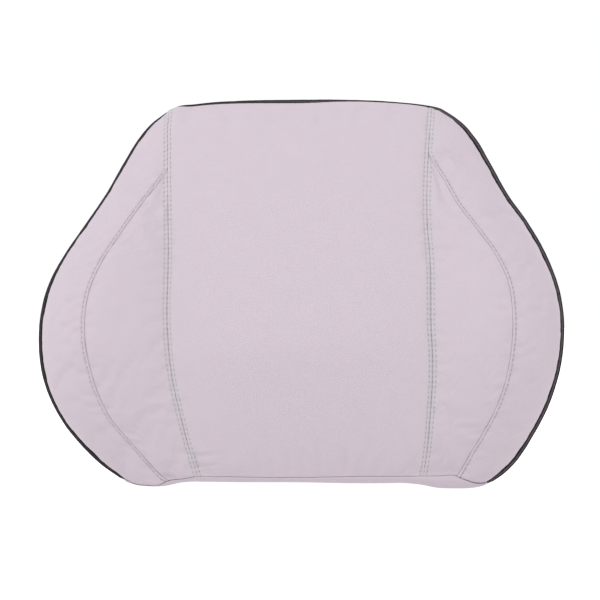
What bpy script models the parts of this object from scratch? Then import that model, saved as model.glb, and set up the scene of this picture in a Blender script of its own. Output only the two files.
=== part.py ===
"""Lumbar support cushion: foam, liner, sewn cover, zip and strap, in metres with +Z up.

The cushion stands on its base with its front to -Y. Depths are measured forwards from the flat back,
and rises are measured backwards from it. Every closed solid is one sewn, moulded or cast piece.
"""

import math

import bpy
import bmesh
import numpy as np
from mathutils import Vector

# ---- Edge of the front cover, right half: half width at a height, and the shallow crown of the top ----
SIDE_OUTLINE = (
    (0.000, 0.1425), (0.010, 0.1615), (0.027, 0.1815), (0.048, 0.1972), (0.082, 0.215),
    (0.125, 0.223), (0.164, 0.219), (0.205, 0.2013), (0.253, 0.1692), (0.301, 0.1412),
    (0.321, 0.1165),
)
CORNER_Z = 0.321
CORNER_X = 0.1165
TOP_Z = 0.330
CROWN_POWER = 5.5
PIPING_STANDS_OUT = 0.002

# ---- Seams of the front, right half: distance from the middle at a height ----
STRAIGHT_SEAM = (
    (0.010, 0.097), (0.050, 0.1055), (0.096, 0.1115), (0.139, 0.1125), (0.200, 0.111),
    (0.265, 0.1115), (0.321, 0.113),
)
CURVED_SEAM = (
    (0.010, 0.126), (0.036, 0.146), (0.077, 0.172), (0.125, 0.1845), (0.162, 0.183),
    (0.201, 0.169), (0.243, 0.137), (0.272, 0.1115),
)
CURVED_SEAM_TOP = 0.272
WING_TIP = 0.005
HEM_Z = 0.010
WING_ROWS = 14
NORMAL_STEP = 0.0004
NORMAL_REACH = 0.993

# ---- Depth of the padding in front of the flat back, at a height ----
MIDDLE_DEPTH = (
    (0.010, 0.088), (0.060, 0.101), (0.100, 0.1075), (0.128, 0.110), (0.160, 0.1055),
    (0.220, 0.088), (0.280, 0.067), (0.321, 0.053),
)
STRAIGHT_DEPTH = (
    (0.010, 0.086), (0.060, 0.098), (0.128, 0.1045), (0.160, 0.101), (0.220, 0.085),
    (0.280, 0.0645), (0.321, 0.051),
)
CURVED_DEPTH = (
    (0.010, 0.083), (0.036, 0.091), (0.077, 0.1045), (0.125, 0.115), (0.162, 0.113),
    (0.201, 0.103), (0.243, 0.082), (0.272, 0.0672),
)
EDGE_DEPTH = (
    (0.010, 0.054), (0.050, 0.057), (0.125, 0.062), (0.200, 0.056), (0.260, 0.048), (0.321, 0.042),
)
TOP_ROLL = 0.024

# ---- Base: a rounded lower edge, and a shallow arch between the two feet ----
BASE_INSET = 0.014
ARCH_RISE = 0.005
ARCH_HALF = 0.090
FOOT_X = 0.118

# ---- Sheet thicknesses and clearances ----
COVER = 0.002
LINER = 0.0006
GAP = 0.0003
LINER_INSET = 0.0036
FOAM_INSET = 0.0048
PIPING_R = 0.00225

# ---- Zip across the lower back ----
ZIP_Z = 0.052
ZIP_HALF = 0.160
ZIP_OPENING = 0.010
TAPE_FRONT = 0.0015
TAPE_BACK = 0.0005
COIL_INNER = 0.0006
COIL_OUTER = 0.0020
COIL_SHORT = 0.004
STOP_SPAN = (0.0010, 0.0036)
STOP_RISE = (-0.0018, 0.0008)
STOP_BEVEL = 0.0004
SLIDER_X = 0.150
PLATE_HALF = (0.0050, 0.0045)
PLATE_RISE = (0.0003, 0.0013)
PLATE_CORNER = 0.002
INNER_PLATE_HALF = (0.0045, 0.0040)
INNER_PLATE_RISE = (-0.0027, -0.0020)
POST_X = (0.0010, 0.0034)
POST_RISE = (-0.0024, 0.0008)
POST_HALF = 0.0004
EAR_SPAN = (0.0022, 0.0030)
EAR_RISE = (0.0008, 0.0038)
EAR_HALF = 0.0012
PIN_RISE = 0.0028
PIN_R = 0.0005
PIN_HALF = 0.0026
PIN_CLEARANCE = 0.0002
EYE_R = 0.0013
EYE_HALF = 0.0019
NECK_HALF = (0.0018, 0.0005)
NECK_REACH = (0.0009, 0.0075)
TAB_HALF = (0.0032, 0.0006)
TAB_REACH = (0.0070, 0.022)
TAB_CORNER = 0.0015
PULL_HOLE_HALF = 0.004

# ---- Strap and buckle across the middle of the back ----
STRAP_Z = 0.165
STRAP_HALF = 0.019
STRAP_END_X = 0.205
PLY = 0.0012
LOWER_PLY = 0.0009
UPPER_PLY = 0.0042
STRAP_FREE_X = {-1: -0.075, 1: 0.150}
BUCKLE_HALF = 0.025
BUCKLE_RISE = 0.0083
BUCKLE_BEVEL = 0.0016
SOCKET_LENGTH = 0.030
SOCKET_BAR_X = -0.0385
SOCKET_RAILS_X = (-0.0415, -0.0280)
CAVITY_X = (-0.0272, 0.0040)
CAVITY_RISE = (0.0023, 0.0063)
CAVITY_HALF = 0.0226
WINDOW_X = (-0.0240, -0.0110)
WINDOW_HALF = 0.030
PLUG_LENGTH = 0.015
PLUG_HALF = 0.0245
PLUG_BAR_X = 0.0215
PLUG_RAILS_X = (0.0130, 0.0245)
TONGUE_X = (-0.0240, 0.0020)
TONGUE_HALF = 0.0035
PRONG_RISE = (0.0028, 0.0058)
PRONG_OUTLINE = (
    (0.0020, 0.0125), (0.0020, 0.0175), (-0.0110, 0.0205), (-0.0122, 0.0223),
    (-0.0215, 0.0223), (-0.0262, 0.0185), (-0.0262, 0.0165), (-0.0200, 0.0180),
    (-0.0100, 0.0160),
)
RAIL_RISE = (0.0010, 0.0053)
RAIL_SPAN = (STRAP_HALF + 0.0010, STRAP_HALF + 0.0045)
BAR_RISE = (0.0018, 0.0033)
BAR_SPAN = (-0.0004, 0.0016)
BAR_HALF = STRAP_HALF + 0.003
ADJUSTER_X = 0.096
ADJUSTER_HALF = 0.011
ADJUSTER_RISE = (0.0018, 0.0066)
ADJUSTER_RAIL = 0.0035
ADJUSTER_CORNER = 0.003
ADJUSTER_WINDOW_RISE = (0.0, 0.0099)
BAR_INSET = 0.0013
BAR_OVERLAP = 0.002
OUTER_BAR = 0.0020
MIDDLE_BAR = 0.0030
MIDDLE_BAR_RISE = (0.0051, 0.0066)


def smooth(knots, t):
    """Cubic through the knots (t, value), with each slope taken from the neighbouring knots."""
    ts, values = (np.array(column) for column in zip(*knots))
    slopes = np.gradient(values, ts)
    t = np.clip(t, ts[0], ts[-1])
    i = np.clip(np.searchsorted(ts, t, side="right") - 1, 0, len(ts) - 2)
    width = ts[i + 1] - ts[i]
    u = (t - ts[i]) / width
    start = (1 + 2 * u) * (1 - u) ** 2 * values[i] + u * (1 - u) ** 2 * width * slopes[i]
    end = u * u * (3 - 2 * u) * values[i + 1] - u * u * (1 - u) * width * slopes[i + 1]
    return float(start + end)


FRONT_DEPTH = max(smooth(CURVED_DEPTH, z) for z in np.linspace(HEM_Z, CURVED_SEAM_TOP, 400))
BACK_Y = (FRONT_DEPTH - BUCKLE_RISE) / 2


def crown(x):
    """Height of the top edge above the corners."""
    return (TOP_Z - CORNER_Z) * (1 - min(1.0, abs(x) / CORNER_X) ** CROWN_POWER)


def arch(x):
    """Height of the base above the ground: nothing at the feet, a little in the middle."""
    u = min(1.0, max(0.0, (FOOT_X - abs(x)) / (FOOT_X - ARCH_HALF)))
    return ARCH_RISE * u * u * (3 - 2 * u)


def seams(z):
    """The seam lines of one row, as (distance from the middle, depth) from the middle outwards."""
    straight = (smooth(STRAIGHT_SEAM, z), smooth(STRAIGHT_DEPTH, z))
    edge = (smooth(SIDE_OUTLINE, z), smooth(EDGE_DEPTH, z))
    if z >= CURVED_SEAM_TOP:
        return straight, straight, edge
    return straight, (smooth(CURVED_SEAM, z), smooth(CURVED_DEPTH, z)), edge


def profile(x, z):
    """Depth across one row: flat middle, valley, crest at the curved seam, roll to the edge."""
    (xs, ds), (xc, dc), (xe, de) = seams(z)
    x = abs(x)
    if x <= xs:
        middle = smooth(MIDDLE_DEPTH, z)
        return middle + (ds - middle) * (x / xs) ** 2
    if x < xc:
        return ds + (dc - ds) * math.sin(math.pi / 2 * (x - xs) / (xc - xs))
    t = min(1.0, (x - xc) / (xe - xc))
    return de + (dc - de) * math.sqrt(1 - t * t)


def front(x, z):
    """A point on the outside of the front. z is the row's height where it meets the side."""
    share = min(1.0, max(0.0, (z - (CORNER_Z - TOP_ROLL)) / TOP_ROLL))
    edge = smooth(EDGE_DEPTH, z)
    depth = edge + (profile(x, z) - edge) * math.sqrt(1 - share * share)
    lift = crown(x) * max(0.0, (z - HEM_Z) / (CORNER_Z - HEM_Z)) ** 3
    return Vector((x, BACK_Y - depth, z + lift))


def front_normal(x, z):
    """Outward direction of the front at a point, kept just inside the edges, where it is defined."""
    z = min(z, CORNER_Z - 2 * NORMAL_STEP)
    limit = smooth(SIDE_OUTLINE, z) * NORMAL_REACH
    x = max(-limit, min(limit, x))
    across = front(x + NORMAL_STEP, z) - front(x - NORMAL_STEP, z)
    up = front(x, z + NORMAL_STEP) - front(x, z - NORMAL_STEP)
    return across.cross(up).normalized()


# ---- Making objects ----
def material(name, colour, roughness, metallic=0.0):
    made = bpy.data.materials.new(name)
    made.use_nodes = True
    shader = made.node_tree.nodes["Principled BSDF"]
    shader.inputs["Base Color"].default_value = (*colour, 1.0)
    shader.inputs["Roughness"].default_value = roughness
    shader.inputs["Metallic"].default_value = metallic
    return made


def finish(name, bm, look, origin=(0, 0, 0), smooth_angle=40):
    """Turn a bmesh in world space into an object with its own material and origin."""
    bmesh.ops.recalc_face_normals(bm, faces=bm.faces)
    bmesh.ops.translate(bm, verts=bm.verts, vec=-Vector(origin))
    mesh = bpy.data.meshes.new(name)
    bm.to_mesh(mesh)
    bm.free()
    mesh.shade_smooth()
    mesh.set_sharp_from_angle(angle=math.radians(smooth_angle))
    made = bpy.data.objects.new(name, mesh)
    made.location = origin
    made.data.materials.append(material(name, *look))
    bpy.context.scene.collection.objects.link(made)
    return made


def add_grid(bm, rows):
    """Skin a list of rows of points with quads, and return the rows of vertices."""
    verts = [[bm.verts.new(point) for point in row] for row in rows]
    for low, high in zip(verts, verts[1:]):
        for i in range(len(low) - 1):
            bm.faces.new((low[i], low[i + 1], high[i + 1], high[i]))
    return verts


def border(verts):
    """The boundary of a grid of vertices, in order round it."""
    right = [row[-1] for row in verts[1:-1]]
    left = [row[0] for row in verts[1:-1]]
    return verts[0] + right + verts[-1][::-1] + left[::-1]


def join_loops(bm, first, second):
    for i in range(len(first)):
        j = (i + 1) % len(first)
        bm.faces.new((first[i], first[j], second[j], second[i]))


def sheet(name, outer, inner, look):
    """A closed sheet between two matching grids of points."""
    bm = bmesh.new()
    join_loops(bm, border(add_grid(bm, outer)), border(add_grid(bm, inner)))
    return finish(name, bm, look)


def box(bm, low, high):
    """Add a box between two corners to a bmesh."""
    low, high = Vector(low), Vector(high)
    verts = bmesh.ops.create_cube(bm, size=1.0)["verts"]
    for vert in verts:
        vert.co = Vector([(low[i] + high[i]) / 2 + vert.co[i] * (high[i] - low[i]) for i in range(3)])
    return verts


def rise(x, up, z):
    """A point behind the flat back, given how far it stands off it."""
    return Vector((x, BACK_Y + up, z))


def on_back(bm, x, up, z):
    """Add a box to a bmesh from its ranges along X, off the back, and along Z."""
    return box(bm, rise(x[0], up[0], z[0]), rise(x[1], up[1], z[1]))


# ---- Colours, roughness and metal of each kind of piece ----
LIGHT_FABRIC = ((0.62, 0.55, 0.61), 0.85)
DARK_FABRIC = ((0.032, 0.028, 0.033), 0.8)
MESH_FABRIC = ((0.022, 0.021, 0.023), 0.85)
FOAM = ((0.86, 0.82, 0.70), 0.95)
KNIT = ((0.80, 0.80, 0.79), 0.9)
WEBBING = ((0.020, 0.020, 0.021), 0.8)
PLASTIC = ((0.016, 0.016, 0.017), 0.42)
METAL = ((0.30, 0.30, 0.31), 0.35, 1.0)


# ---- Front cover ----
def rows_between(low, high, count):
    return [low + (high - low) * i / count for i in range(count + 1)]


def panel(name, side, inner, outer, rows, columns, rolled):
    """A front panel from one seam line to the next, with a hair's gap left at each of them."""
    outside, inside = [], []
    for z in rows:
        start, end = inner(z) + GAP / 2, outer(z) - GAP / 2
        outside_row, inside_row = [], []
        for i in range(columns + 1):
            share = math.sin(math.pi / 2 * i / columns) if rolled else i / columns
            x = side * (start + (end - start) * share)
            point = front(x, z)
            outside_row.append(point)
            under = point - COVER * front_normal(x, z)
            under.y = min(under.y, BACK_Y - smooth(EDGE_DEPTH, z))
            inside_row.append(under)
        outside.append(outside_row)
        inside.append(inside_row)
    return sheet(name, outside, inside, LIGHT_FABRIC)


def wing_rows():
    """Heights of the rows up to the tip of an inner wing."""
    return rows_between(HEM_Z + GAP / 2, CURVED_SEAM_TOP - WING_TIP, WING_ROWS)


def cover_rows():
    """Heights of the rows of the whole front, closer together where the top rolls over."""
    turn = CORNER_Z - TOP_ROLL
    rolled = [turn + TOP_ROLL * math.sin(math.pi / 2 * i / 4) for i in range(1, 5)]
    return wing_rows() + rows_between(CURVED_SEAM_TOP, turn, 2) + rolled


def front_panels():
    rows = cover_rows()
    panel("centre_panel", 1, lambda z: -seams(z)[0][0], lambda z: seams(z)[0][0], rows, 14, False)
    for side, word in ((-1, "left"), (1, "right")):
        panel(
            f"inner_wing_{word}", side, lambda z: seams(z)[0][0], lambda z: seams(z)[1][0],
            wing_rows(), 5, False,
        )
        panel(
            f"bolster_{word}", side, lambda z: seams(z)[1][0], lambda z: seams(z)[2][0] + GAP / 2,
            rows, 8, True,
        )


def base_path(inset):
    """Plan of the lower edge at the hem, from the left of the back round the front: (x, depth)."""
    side_x = smooth(SIDE_OUTLINE, HEM_Z)
    edge = smooth(EDGE_DEPTH, HEM_Z)
    side = [(-side_x, depth) for depth in (COVER + GAP, 0.018, 0.036)]
    turn = [math.sin(math.pi / 2 * i / 8) for i in range(9)]
    straight, curved = (seams(HEM_Z)[i][0] for i in (0, 1))
    half = [(side_x - curved) * t + curved for t in reversed(turn)]
    half += [FOOT_X, 0.107, straight, 0.088, 0.066, 0.044, 0.022]
    xs = [-x for x in half] + [0.0] + half[::-1]
    path = side + [(x, profile(x, HEM_Z)) for x in xs] + [(-x, d) for x, d in side[::-1]]
    path = [(x, max(d, edge) if abs(x) < side_x else d) for x, d in path]
    points = np.array(path)
    along = np.gradient(points, axis=0)
    along /= np.linalg.norm(along, axis=1)[:, None]
    along[0], along[-1] = (0.0, 1.0), (0.0, -1.0)
    inward = np.stack((along[:, 1], -along[:, 0]), axis=1)
    return [tuple(point) for point in points + inward * inset]


def base_ring(turn, skin):
    """One line of the lower edge's rounding, from the hem at turn 0 to the base at 90 degrees."""
    inset = skin + (BASE_INSET - skin) * (1 - math.cos(turn))
    ring = []
    for x, depth in base_path(inset):
        low = arch(x) + skin
        z = HEM_Z - GAP / 2 - (HEM_Z - GAP / 2 - low) * math.sin(turn)
        ring.append(Vector((x, BACK_Y - depth, z)))
    return ring


def base_skin(bm, skin):
    """One side of the bottom panel: rounded rim, two flat feet and the arch. Returns its border."""
    rings = [base_ring(math.radians(turn), skin) for turn in (0, 25, 50, 75, 90)]
    rings = add_grid(bm, rings)
    base = rings[-1]
    foot = [i for i, vert in enumerate(base) if abs(abs(vert.co.x) - FOOT_X) < 0.004]
    left, right = foot[0], foot[-1]
    back = [
        bm.verts.new((base[i].co.x, BACK_Y - COVER - GAP, base[i].co.z))
        for i in range(left, right + 1)
    ]
    bm.faces.new(base[: left + 1] + [back[0]])
    bm.faces.new(base[right:] + [back[-1]])
    for i in range(left, right):
        j = i - left
        bm.faces.new((base[i], base[i + 1], back[j + 1], back[j]))
    ends = [ring[-1] for ring in rings[1:]], [ring[0] for ring in rings[1:]]
    return rings[0] + ends[0] + back[::-1] + ends[1][::-1]


def bottom_panel():
    bm = bmesh.new()
    join_loops(bm, base_skin(bm, 0.0), base_skin(bm, COVER))
    finish("bottom_panel", bm, LIGHT_FABRIC)


# ---- Foam and liner ----
def bowl_columns(z):
    """Distances from the middle of the columns of one row: they keep to the valley and the crest."""
    (xs, _), (xc, _), (xe, _) = seams(z)
    xc = max(xc, xs + 0.3 * (xe - xs))
    half = [xs * i / 4 for i in range(4)] + [xs + (xc - xs) * i / 3 for i in range(3)]
    half += [xc + (xe - xc) * math.sin(math.pi / 2 * i / 6) for i in range(7)]
    return [-x for x in half[:0:-1]] + half


def bowl_rows(inset):
    """The whole front as one grid, set inwards, with the lower edge rounded under."""
    rows = []
    for turn in (90, 60, 30):
        angle = math.radians(turn)
        row = []
        for x in bowl_columns(HEM_Z):
            outward = front_normal(x, HEM_Z)
            plan = Vector((outward.x, outward.y, 0)).normalized()
            point = front(x, HEM_Z) - plan * BASE_INSET * (1 - math.cos(angle))
            point.z = HEM_Z - (HEM_Z - arch(x)) * math.sin(angle)
            row.append(point - inset * (plan * math.cos(angle) + Vector((0, 0, -math.sin(angle)))))
        rows.append(row)
    for z in cover_rows():
        rows.append([front(x, z) - inset * front_normal(x, z) for x in bowl_columns(z)])
    return rows


def bowl(bm, inset, back_depth):
    """Skin the inset front and its straight sides. Returns the open border at the back."""
    rim = border(add_grid(bm, bowl_rows(inset)))
    back = [bm.verts.new((vert.co.x, BACK_Y - back_depth, vert.co.z)) for vert in rim]
    join_loops(bm, rim, back)
    return back


def foam_core():
    bm = bmesh.new()
    bm.faces.new(bowl(bm, FOAM_INSET, FOAM_INSET))
    finish("foam_core", bm, FOAM)


def liners():
    bm = bmesh.new()
    back_depth = LINER_INSET + LINER + GAP
    join_loops(bm, bowl(bm, LINER_INSET, back_depth), bowl(bm, LINER_INSET + LINER, back_depth))
    finish("liner_front", bm, KNIT)
    bm = bmesh.new()
    rows = bowl_rows(LINER_INSET)
    sides = [row[-1] for row in rows[1:-1]], [row[0] for row in rows[1:-1]]
    plate(bm, rows[0] + sides[0] + rows[-1][::-1] + sides[1][::-1], LINER_INSET, LINER_INSET + LINER)
    finish("liner_back", bm, KNIT)


def plate(bm, outline, near, far):
    """A flat plate parallel to the back, between two depths, with the outline's X and Z."""
    loops = []
    for depth in (near, far):
        loops.append([bm.verts.new((p.x, BACK_Y - depth, p.z)) for p in outline])
        bm.faces.new(loops[-1])
    join_loops(bm, *loops)


# ---- Edge: piping and gusset ----
def edge_line(low_z, steps, inset):
    """Right half of the outline from a height up to the middle of the top: (x, z, outward x, z)."""
    heights = rows_between(low_z, CORNER_Z, steps)
    line = [(smooth(SIDE_OUTLINE, z), z) for z in heights]
    line += [(x, CORNER_Z + crown(x)) for x in (0.112, 0.105, 0.095, 0.082, 0.064, 0.042, 0.020, 0.0)]
    points = np.array(line)
    along = np.gradient(points, axis=0)
    along[-1] = (-1.0, 0.0)
    along /= np.linalg.norm(along, axis=1)[:, None]
    outward = np.stack((along[:, 1], -along[:, 0]), axis=1)
    return points - outward * inset, outward


def whole_edge(low_z, steps, inset):
    """The outline from the right foot over the top to the left foot."""
    points, outward = edge_line(low_z, steps, inset)
    mirror = np.array((-1.0, 1.0))
    points = np.concatenate((points, points[-2::-1] * mirror))
    outward = np.concatenate((outward, outward[-2::-1] * mirror))
    return points, outward


def edge_piping():
    sides = 8
    points, outward = whole_edge(HEM_Z + 0.0015, 30, PIPING_R - PIPING_STANDS_OUT)
    rings = []
    for (x, z), (out_x, out_z) in zip(points, outward):
        depth = smooth(EDGE_DEPTH, z) - GAP - PIPING_R
        ring = []
        for i in range(sides):
            angle = 2 * math.pi * (i + 0.5) / sides
            out = PIPING_R * math.cos(angle)
            ring.append((x + out * out_x, BACK_Y - depth + PIPING_R * math.sin(angle), z + out * out_z))
        rings.append(ring)
    bm = bmesh.new()
    verts = [[bm.verts.new(point) for point in ring] for ring in rings]
    for low, high in zip(verts, verts[1:]):
        join_loops(bm, low, high)
    bm.faces.new(verts[0])
    bm.faces.new(verts[-1])
    finish("edge_piping", bm, DARK_FABRIC)


def gussets():
    """The side wall behind the piping: left, top and right strips that meet near the corners."""
    points, outward = whole_edge(HEM_Z + GAP / 2, 30, 0.0)
    last = len(points) - 1
    cuts = {"gusset_right": (0, 29), "gusset_top": (29, last - 29), "gusset_left": (last - 29, last)}
    for name, (start, end) in cuts.items():
        outer, inner = [], []
        for i in range(start, end + 1):
            shift = np.zeros(2)
            if i == start and start > 0:
                shift = (points[i + 1] - points[i]) * GAP / np.linalg.norm(points[i + 1] - points[i])
            near = smooth(EDGE_DEPTH, points[i][1]) - 2 * GAP - 2 * PIPING_R
            for rows, skin in ((outer, 0.0), (inner, COVER)):
                x, z = points[i] + shift - outward[i] * skin
                z = max(z, HEM_Z + GAP / 2)
                rows.append([(x, BACK_Y - d, z) for d in (COVER + GAP, (near + COVER) / 2, near)])
        sheet(name, outer, inner, DARK_FABRIC)


# ---- Back cover and zip ----
def back_outline(low_z, high_z):
    """Outline of a back panel between two heights, inside the gusset's line."""
    points, _ = edge_line(0.0, 44, 0.0)
    inside = [(x, z) for x, z in points if low_z < z < high_z]
    side = [(smooth(SIDE_OUTLINE, low_z), low_z)] if low_z > 0 else []
    side += inside
    if high_z < TOP_Z:
        side.append((smooth(SIDE_OUTLINE, high_z), high_z))
    else:
        side.append((points[-1][0], points[-1][1]))
    return side


def back_panel(name, low_z, high_z):
    side = back_outline(low_z, high_z)
    outline = [Vector((x, 0, z)) for x, z in side]
    outline += [Vector((-x, 0, z)) for x, z in reversed(side) if x > 0]
    if low_z <= 0:
        count = 16
        for i in range(count + 1):
            x = -FOOT_X + 2 * FOOT_X * i / count
            outline.append(Vector((x, 0, arch(x))))
    bm = bmesh.new()
    plate(bm, outline, 0.0, COVER)
    finish(name, bm, MESH_FABRIC)


def zip_strips():
    for side, word in ((1, "upper"), (-1, "lower")):
        bm = bmesh.new()
        near, far = COIL_OUTER + GAP, ZIP_OPENING - GAP
        spans = sorted((ZIP_Z + side * near, ZIP_Z + side * far))
        on_back(bm, (-ZIP_HALF, ZIP_HALF), (-TAPE_FRONT, -TAPE_BACK), spans)
        finish(f"zip_tape_{word}", bm, WEBBING)
        bm = bmesh.new()
        spans = sorted((ZIP_Z + side * COIL_INNER, ZIP_Z + side * COIL_OUTER))
        coil_half = ZIP_HALF - COIL_SHORT
        on_back(bm, (-coil_half, coil_half), (-TAPE_FRONT - GAP, -TAPE_BACK + GAP), spans)
        finish(f"zip_coil_{word}", bm, PLASTIC)


def zip_stops():
    for side, word in ((-1, "left"), (1, "right")):
        bm = bmesh.new()
        spans = sorted(side * (ZIP_HALF - inset) for inset in STOP_SPAN)
        on_back(bm, spans, STOP_RISE, (ZIP_Z - COIL_OUTER, ZIP_Z + COIL_OUTER))
        bmesh.ops.bevel(bm, geom=bm.edges[:], offset=STOP_BEVEL, segments=2, affect="EDGES")
        finish(f"zip_stop_{word}", bm, METAL)


def both_ways(middle, half):
    """The range that reaches half to each side of the middle."""
    return middle - half, middle + half


def round_upright(bm, radius, segments):
    """Round the edges of a bmesh box that run off the back."""
    upright = [edge for edge in bm.edges if abs(edge.verts[0].co.y - edge.verts[1].co.y) > 1e-6]
    bmesh.ops.bevel(bm, geom=upright, offset=radius, segments=segments, affect="EDGES")


def cylinder(bm, centre, radius, low_x, high_x, sides):
    """Add a round bar along X to a bmesh, turned so that flats face each way."""
    loops = []
    for x in (low_x, high_x):
        ring = []
        for i in range(sides):
            angle = 2 * math.pi * (i + 0.5) / sides
            shift = Vector((0, radius * math.cos(angle), radius * math.sin(angle)))
            ring.append(bm.verts.new(Vector((x, centre.y, centre.z)) + shift))
        loops.append(ring)
        bm.faces.new(ring)
    join_loops(bm, *loops)


def helper(name, bm):
    """An object that shapes another one through a modifier and isn't part of the model itself."""
    made = finish(name, bm, PLASTIC)
    made.hide_render = True
    made.display_type = "WIRE"
    return made


def combine(target, helpers, operation):
    for tool in helpers:
        modifier = target.modifiers.new(tool.name, "BOOLEAN")
        modifier.operation = operation
        modifier.solver = "EXACT"
        modifier.object = tool


def zip_slider():
    """Two plates joined by a thin post between the coils, with two ears and a pin for the pull."""
    bm = bmesh.new()
    on_back(bm, both_ways(SLIDER_X, PLATE_HALF[0]), PLATE_RISE, both_ways(ZIP_Z, PLATE_HALF[1]))
    round_upright(bm, PLATE_CORNER, 3)
    body = finish("zip_slider", bm, METAL, origin=rise(SLIDER_X, 0, ZIP_Z))
    near_ear = tuple(-x for x in reversed(EAR_SPAN))
    parts = {
        "slider_inner_plate": (both_ways(0, INNER_PLATE_HALF[0]), INNER_PLATE_RISE, INNER_PLATE_HALF[1]),
        "slider_post": (POST_X, POST_RISE, POST_HALF),
        "slider_ear_near": (near_ear, EAR_RISE, EAR_HALF),
        "slider_ear_far": (EAR_SPAN, EAR_RISE, EAR_HALF),
    }
    pieces = []
    for name, (xs, ups, half) in parts.items():
        bm = bmesh.new()
        on_back(bm, [SLIDER_X + x for x in xs], ups, both_ways(ZIP_Z, half))
        pieces.append(helper(name, bm))
    bm = bmesh.new()
    cylinder(bm, rise(0, PIN_RISE, ZIP_Z), PIN_R, *both_ways(SLIDER_X, PIN_HALF), 12)
    pieces.append(helper("slider_pin", bm))
    combine(body, pieces, "UNION")


def zip_pull():
    """A flat tab that hangs from the slider's pin by an eye."""
    centre = rise(SLIDER_X, PIN_RISE, ZIP_Z)
    bm = bmesh.new()
    cylinder(bm, centre, EYE_R, *both_ways(SLIDER_X, EYE_HALF), 12)
    body = finish("zip_pull", bm, METAL, origin=centre)
    pieces = []
    for name, (half_x, half_up), (near, far) in (
        ("pull_neck", NECK_HALF, NECK_REACH), ("pull_tab", TAB_HALF, TAB_REACH),
    ):
        bm = bmesh.new()
        on_back(bm, both_ways(SLIDER_X, half_x), both_ways(PIN_RISE, half_up), (ZIP_Z - far, ZIP_Z - near))
        if name == "pull_tab":
            round_upright(bm, TAB_CORNER, 3)
        pieces.append(helper(name, bm))
    bm = bmesh.new()
    cylinder(bm, centre, PIN_R + PIN_CLEARANCE, *both_ways(SLIDER_X, PULL_HOLE_HALF), 12)
    hole = helper("pull_hole", bm)
    combine(body, pieces, "UNION")
    combine(body, (hole,), "DIFFERENCE")


# ---- Strap and its hardware ----
def ribbon(name, path, look):
    """A strap of one thickness that follows a path of (x, rise), as wide as the strap."""
    points = np.array(path)
    along = np.gradient(points, axis=0)
    along /= np.linalg.norm(along, axis=1)[:, None]
    aside = np.stack((-along[:, 1], along[:, 0]), axis=1) * PLY / 2
    bm = bmesh.new()
    loops = []
    for z in (STRAP_Z - STRAP_HALF, STRAP_Z + STRAP_HALF):
        outline = list(points + aside) + list((points - aside)[::-1])
        loops.append([bm.verts.new(rise(x, up, z)) for x, up in outline])
    join_loops(bm, *loops)
    count = len(points)
    for loop in loops:
        for i in range(count - 1):
            bm.faces.new((loop[i], loop[i + 1], loop[2 * count - 2 - i], loop[2 * count - 1 - i]))
    return finish(name, bm, look)


def strap_path(side, bar_x, free_x):
    """From the side seam to a bar, round it, and back over itself to a free end."""
    middle, radius = (LOWER_PLY + UPPER_PLY) / 2, (UPPER_PLY - LOWER_PLY) / 2
    path = [(side * STRAP_END_X, LOWER_PLY), (side * 0.12, LOWER_PLY), (side * 0.06, LOWER_PLY)]
    for i in range(9):
        angle = math.pi * i / 8
        path.append((bar_x - side * radius * math.sin(angle), middle - radius * math.cos(angle)))
    share = (free_x - bar_x) / 3
    return path + [(bar_x + share * i, UPPER_PLY) for i in (1, 2, 3)]


def straps():
    ribbon("strap_left", strap_path(-1, SOCKET_BAR_X, STRAP_FREE_X[-1]), WEBBING)
    ribbon("strap_right", strap_path(1, PLUG_BAR_X, STRAP_FREE_X[1]), WEBBING)


def part_of(name, xs, ups, half):
    """A helper box centred on the strap."""
    bm = bmesh.new()
    on_back(bm, xs, ups, both_ways(STRAP_Z, half))
    return helper(name, bm)


def strap_frame(prefix, xs, bar_x, side):
    """Two rails beside the strap and the bar that it loops round, each a helper of its own."""
    made = []
    for sign, word in ((-1, "low"), (1, "high")):
        bm = bmesh.new()
        on_back(bm, xs, RAIL_RISE, sorted(STRAP_Z + sign * across for across in RAIL_SPAN))
        made.append(helper(f"{prefix}_rail_{word}", bm))
    bar = sorted(bar_x + side * x for x in BAR_SPAN)
    made.append(part_of(f"{prefix}_bar", bar, BAR_RISE, BAR_HALF))
    return made


def buckle_block(name, xs, half, origin_x):
    """The rounded block of one half of the buckle."""
    bm = bmesh.new()
    on_back(bm, xs, (GAP, BUCKLE_RISE), both_ways(STRAP_Z, half))
    bmesh.ops.bevel(bm, geom=bm.edges[:], offset=BUCKLE_BEVEL, segments=3, affect="EDGES")
    return finish(name, bm, PLASTIC, origin=rise(origin_x, 0, STRAP_Z))


def buckle_socket():
    """A block with a mouth for the plug, a window at each end for its pads, and a strap bar."""
    body = buckle_block("buckle_socket", (-SOCKET_LENGTH, 0.0), BUCKLE_HALF, -SOCKET_LENGTH / 2)
    frame = strap_frame("socket", SOCKET_RAILS_X, SOCKET_BAR_X, -1)
    cavity = part_of("socket_cavity", CAVITY_X, CAVITY_RISE, CAVITY_HALF)
    windows = part_of("socket_windows", WINDOW_X, CAVITY_RISE, WINDOW_HALF)
    combine(body, frame, "UNION")
    combine(body, (cavity, windows), "DIFFERENCE")


def prong(bm, sign):
    """A sprung arm of the plug with the pad that shows in the socket's window: an extruded outline."""
    loops = []
    for up in PRONG_RISE:
        loops.append([bm.verts.new(rise(x, up, STRAP_Z + sign * across)) for x, across in PRONG_OUTLINE])
        bm.faces.new(loops[-1])
    join_loops(bm, *loops)


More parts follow.
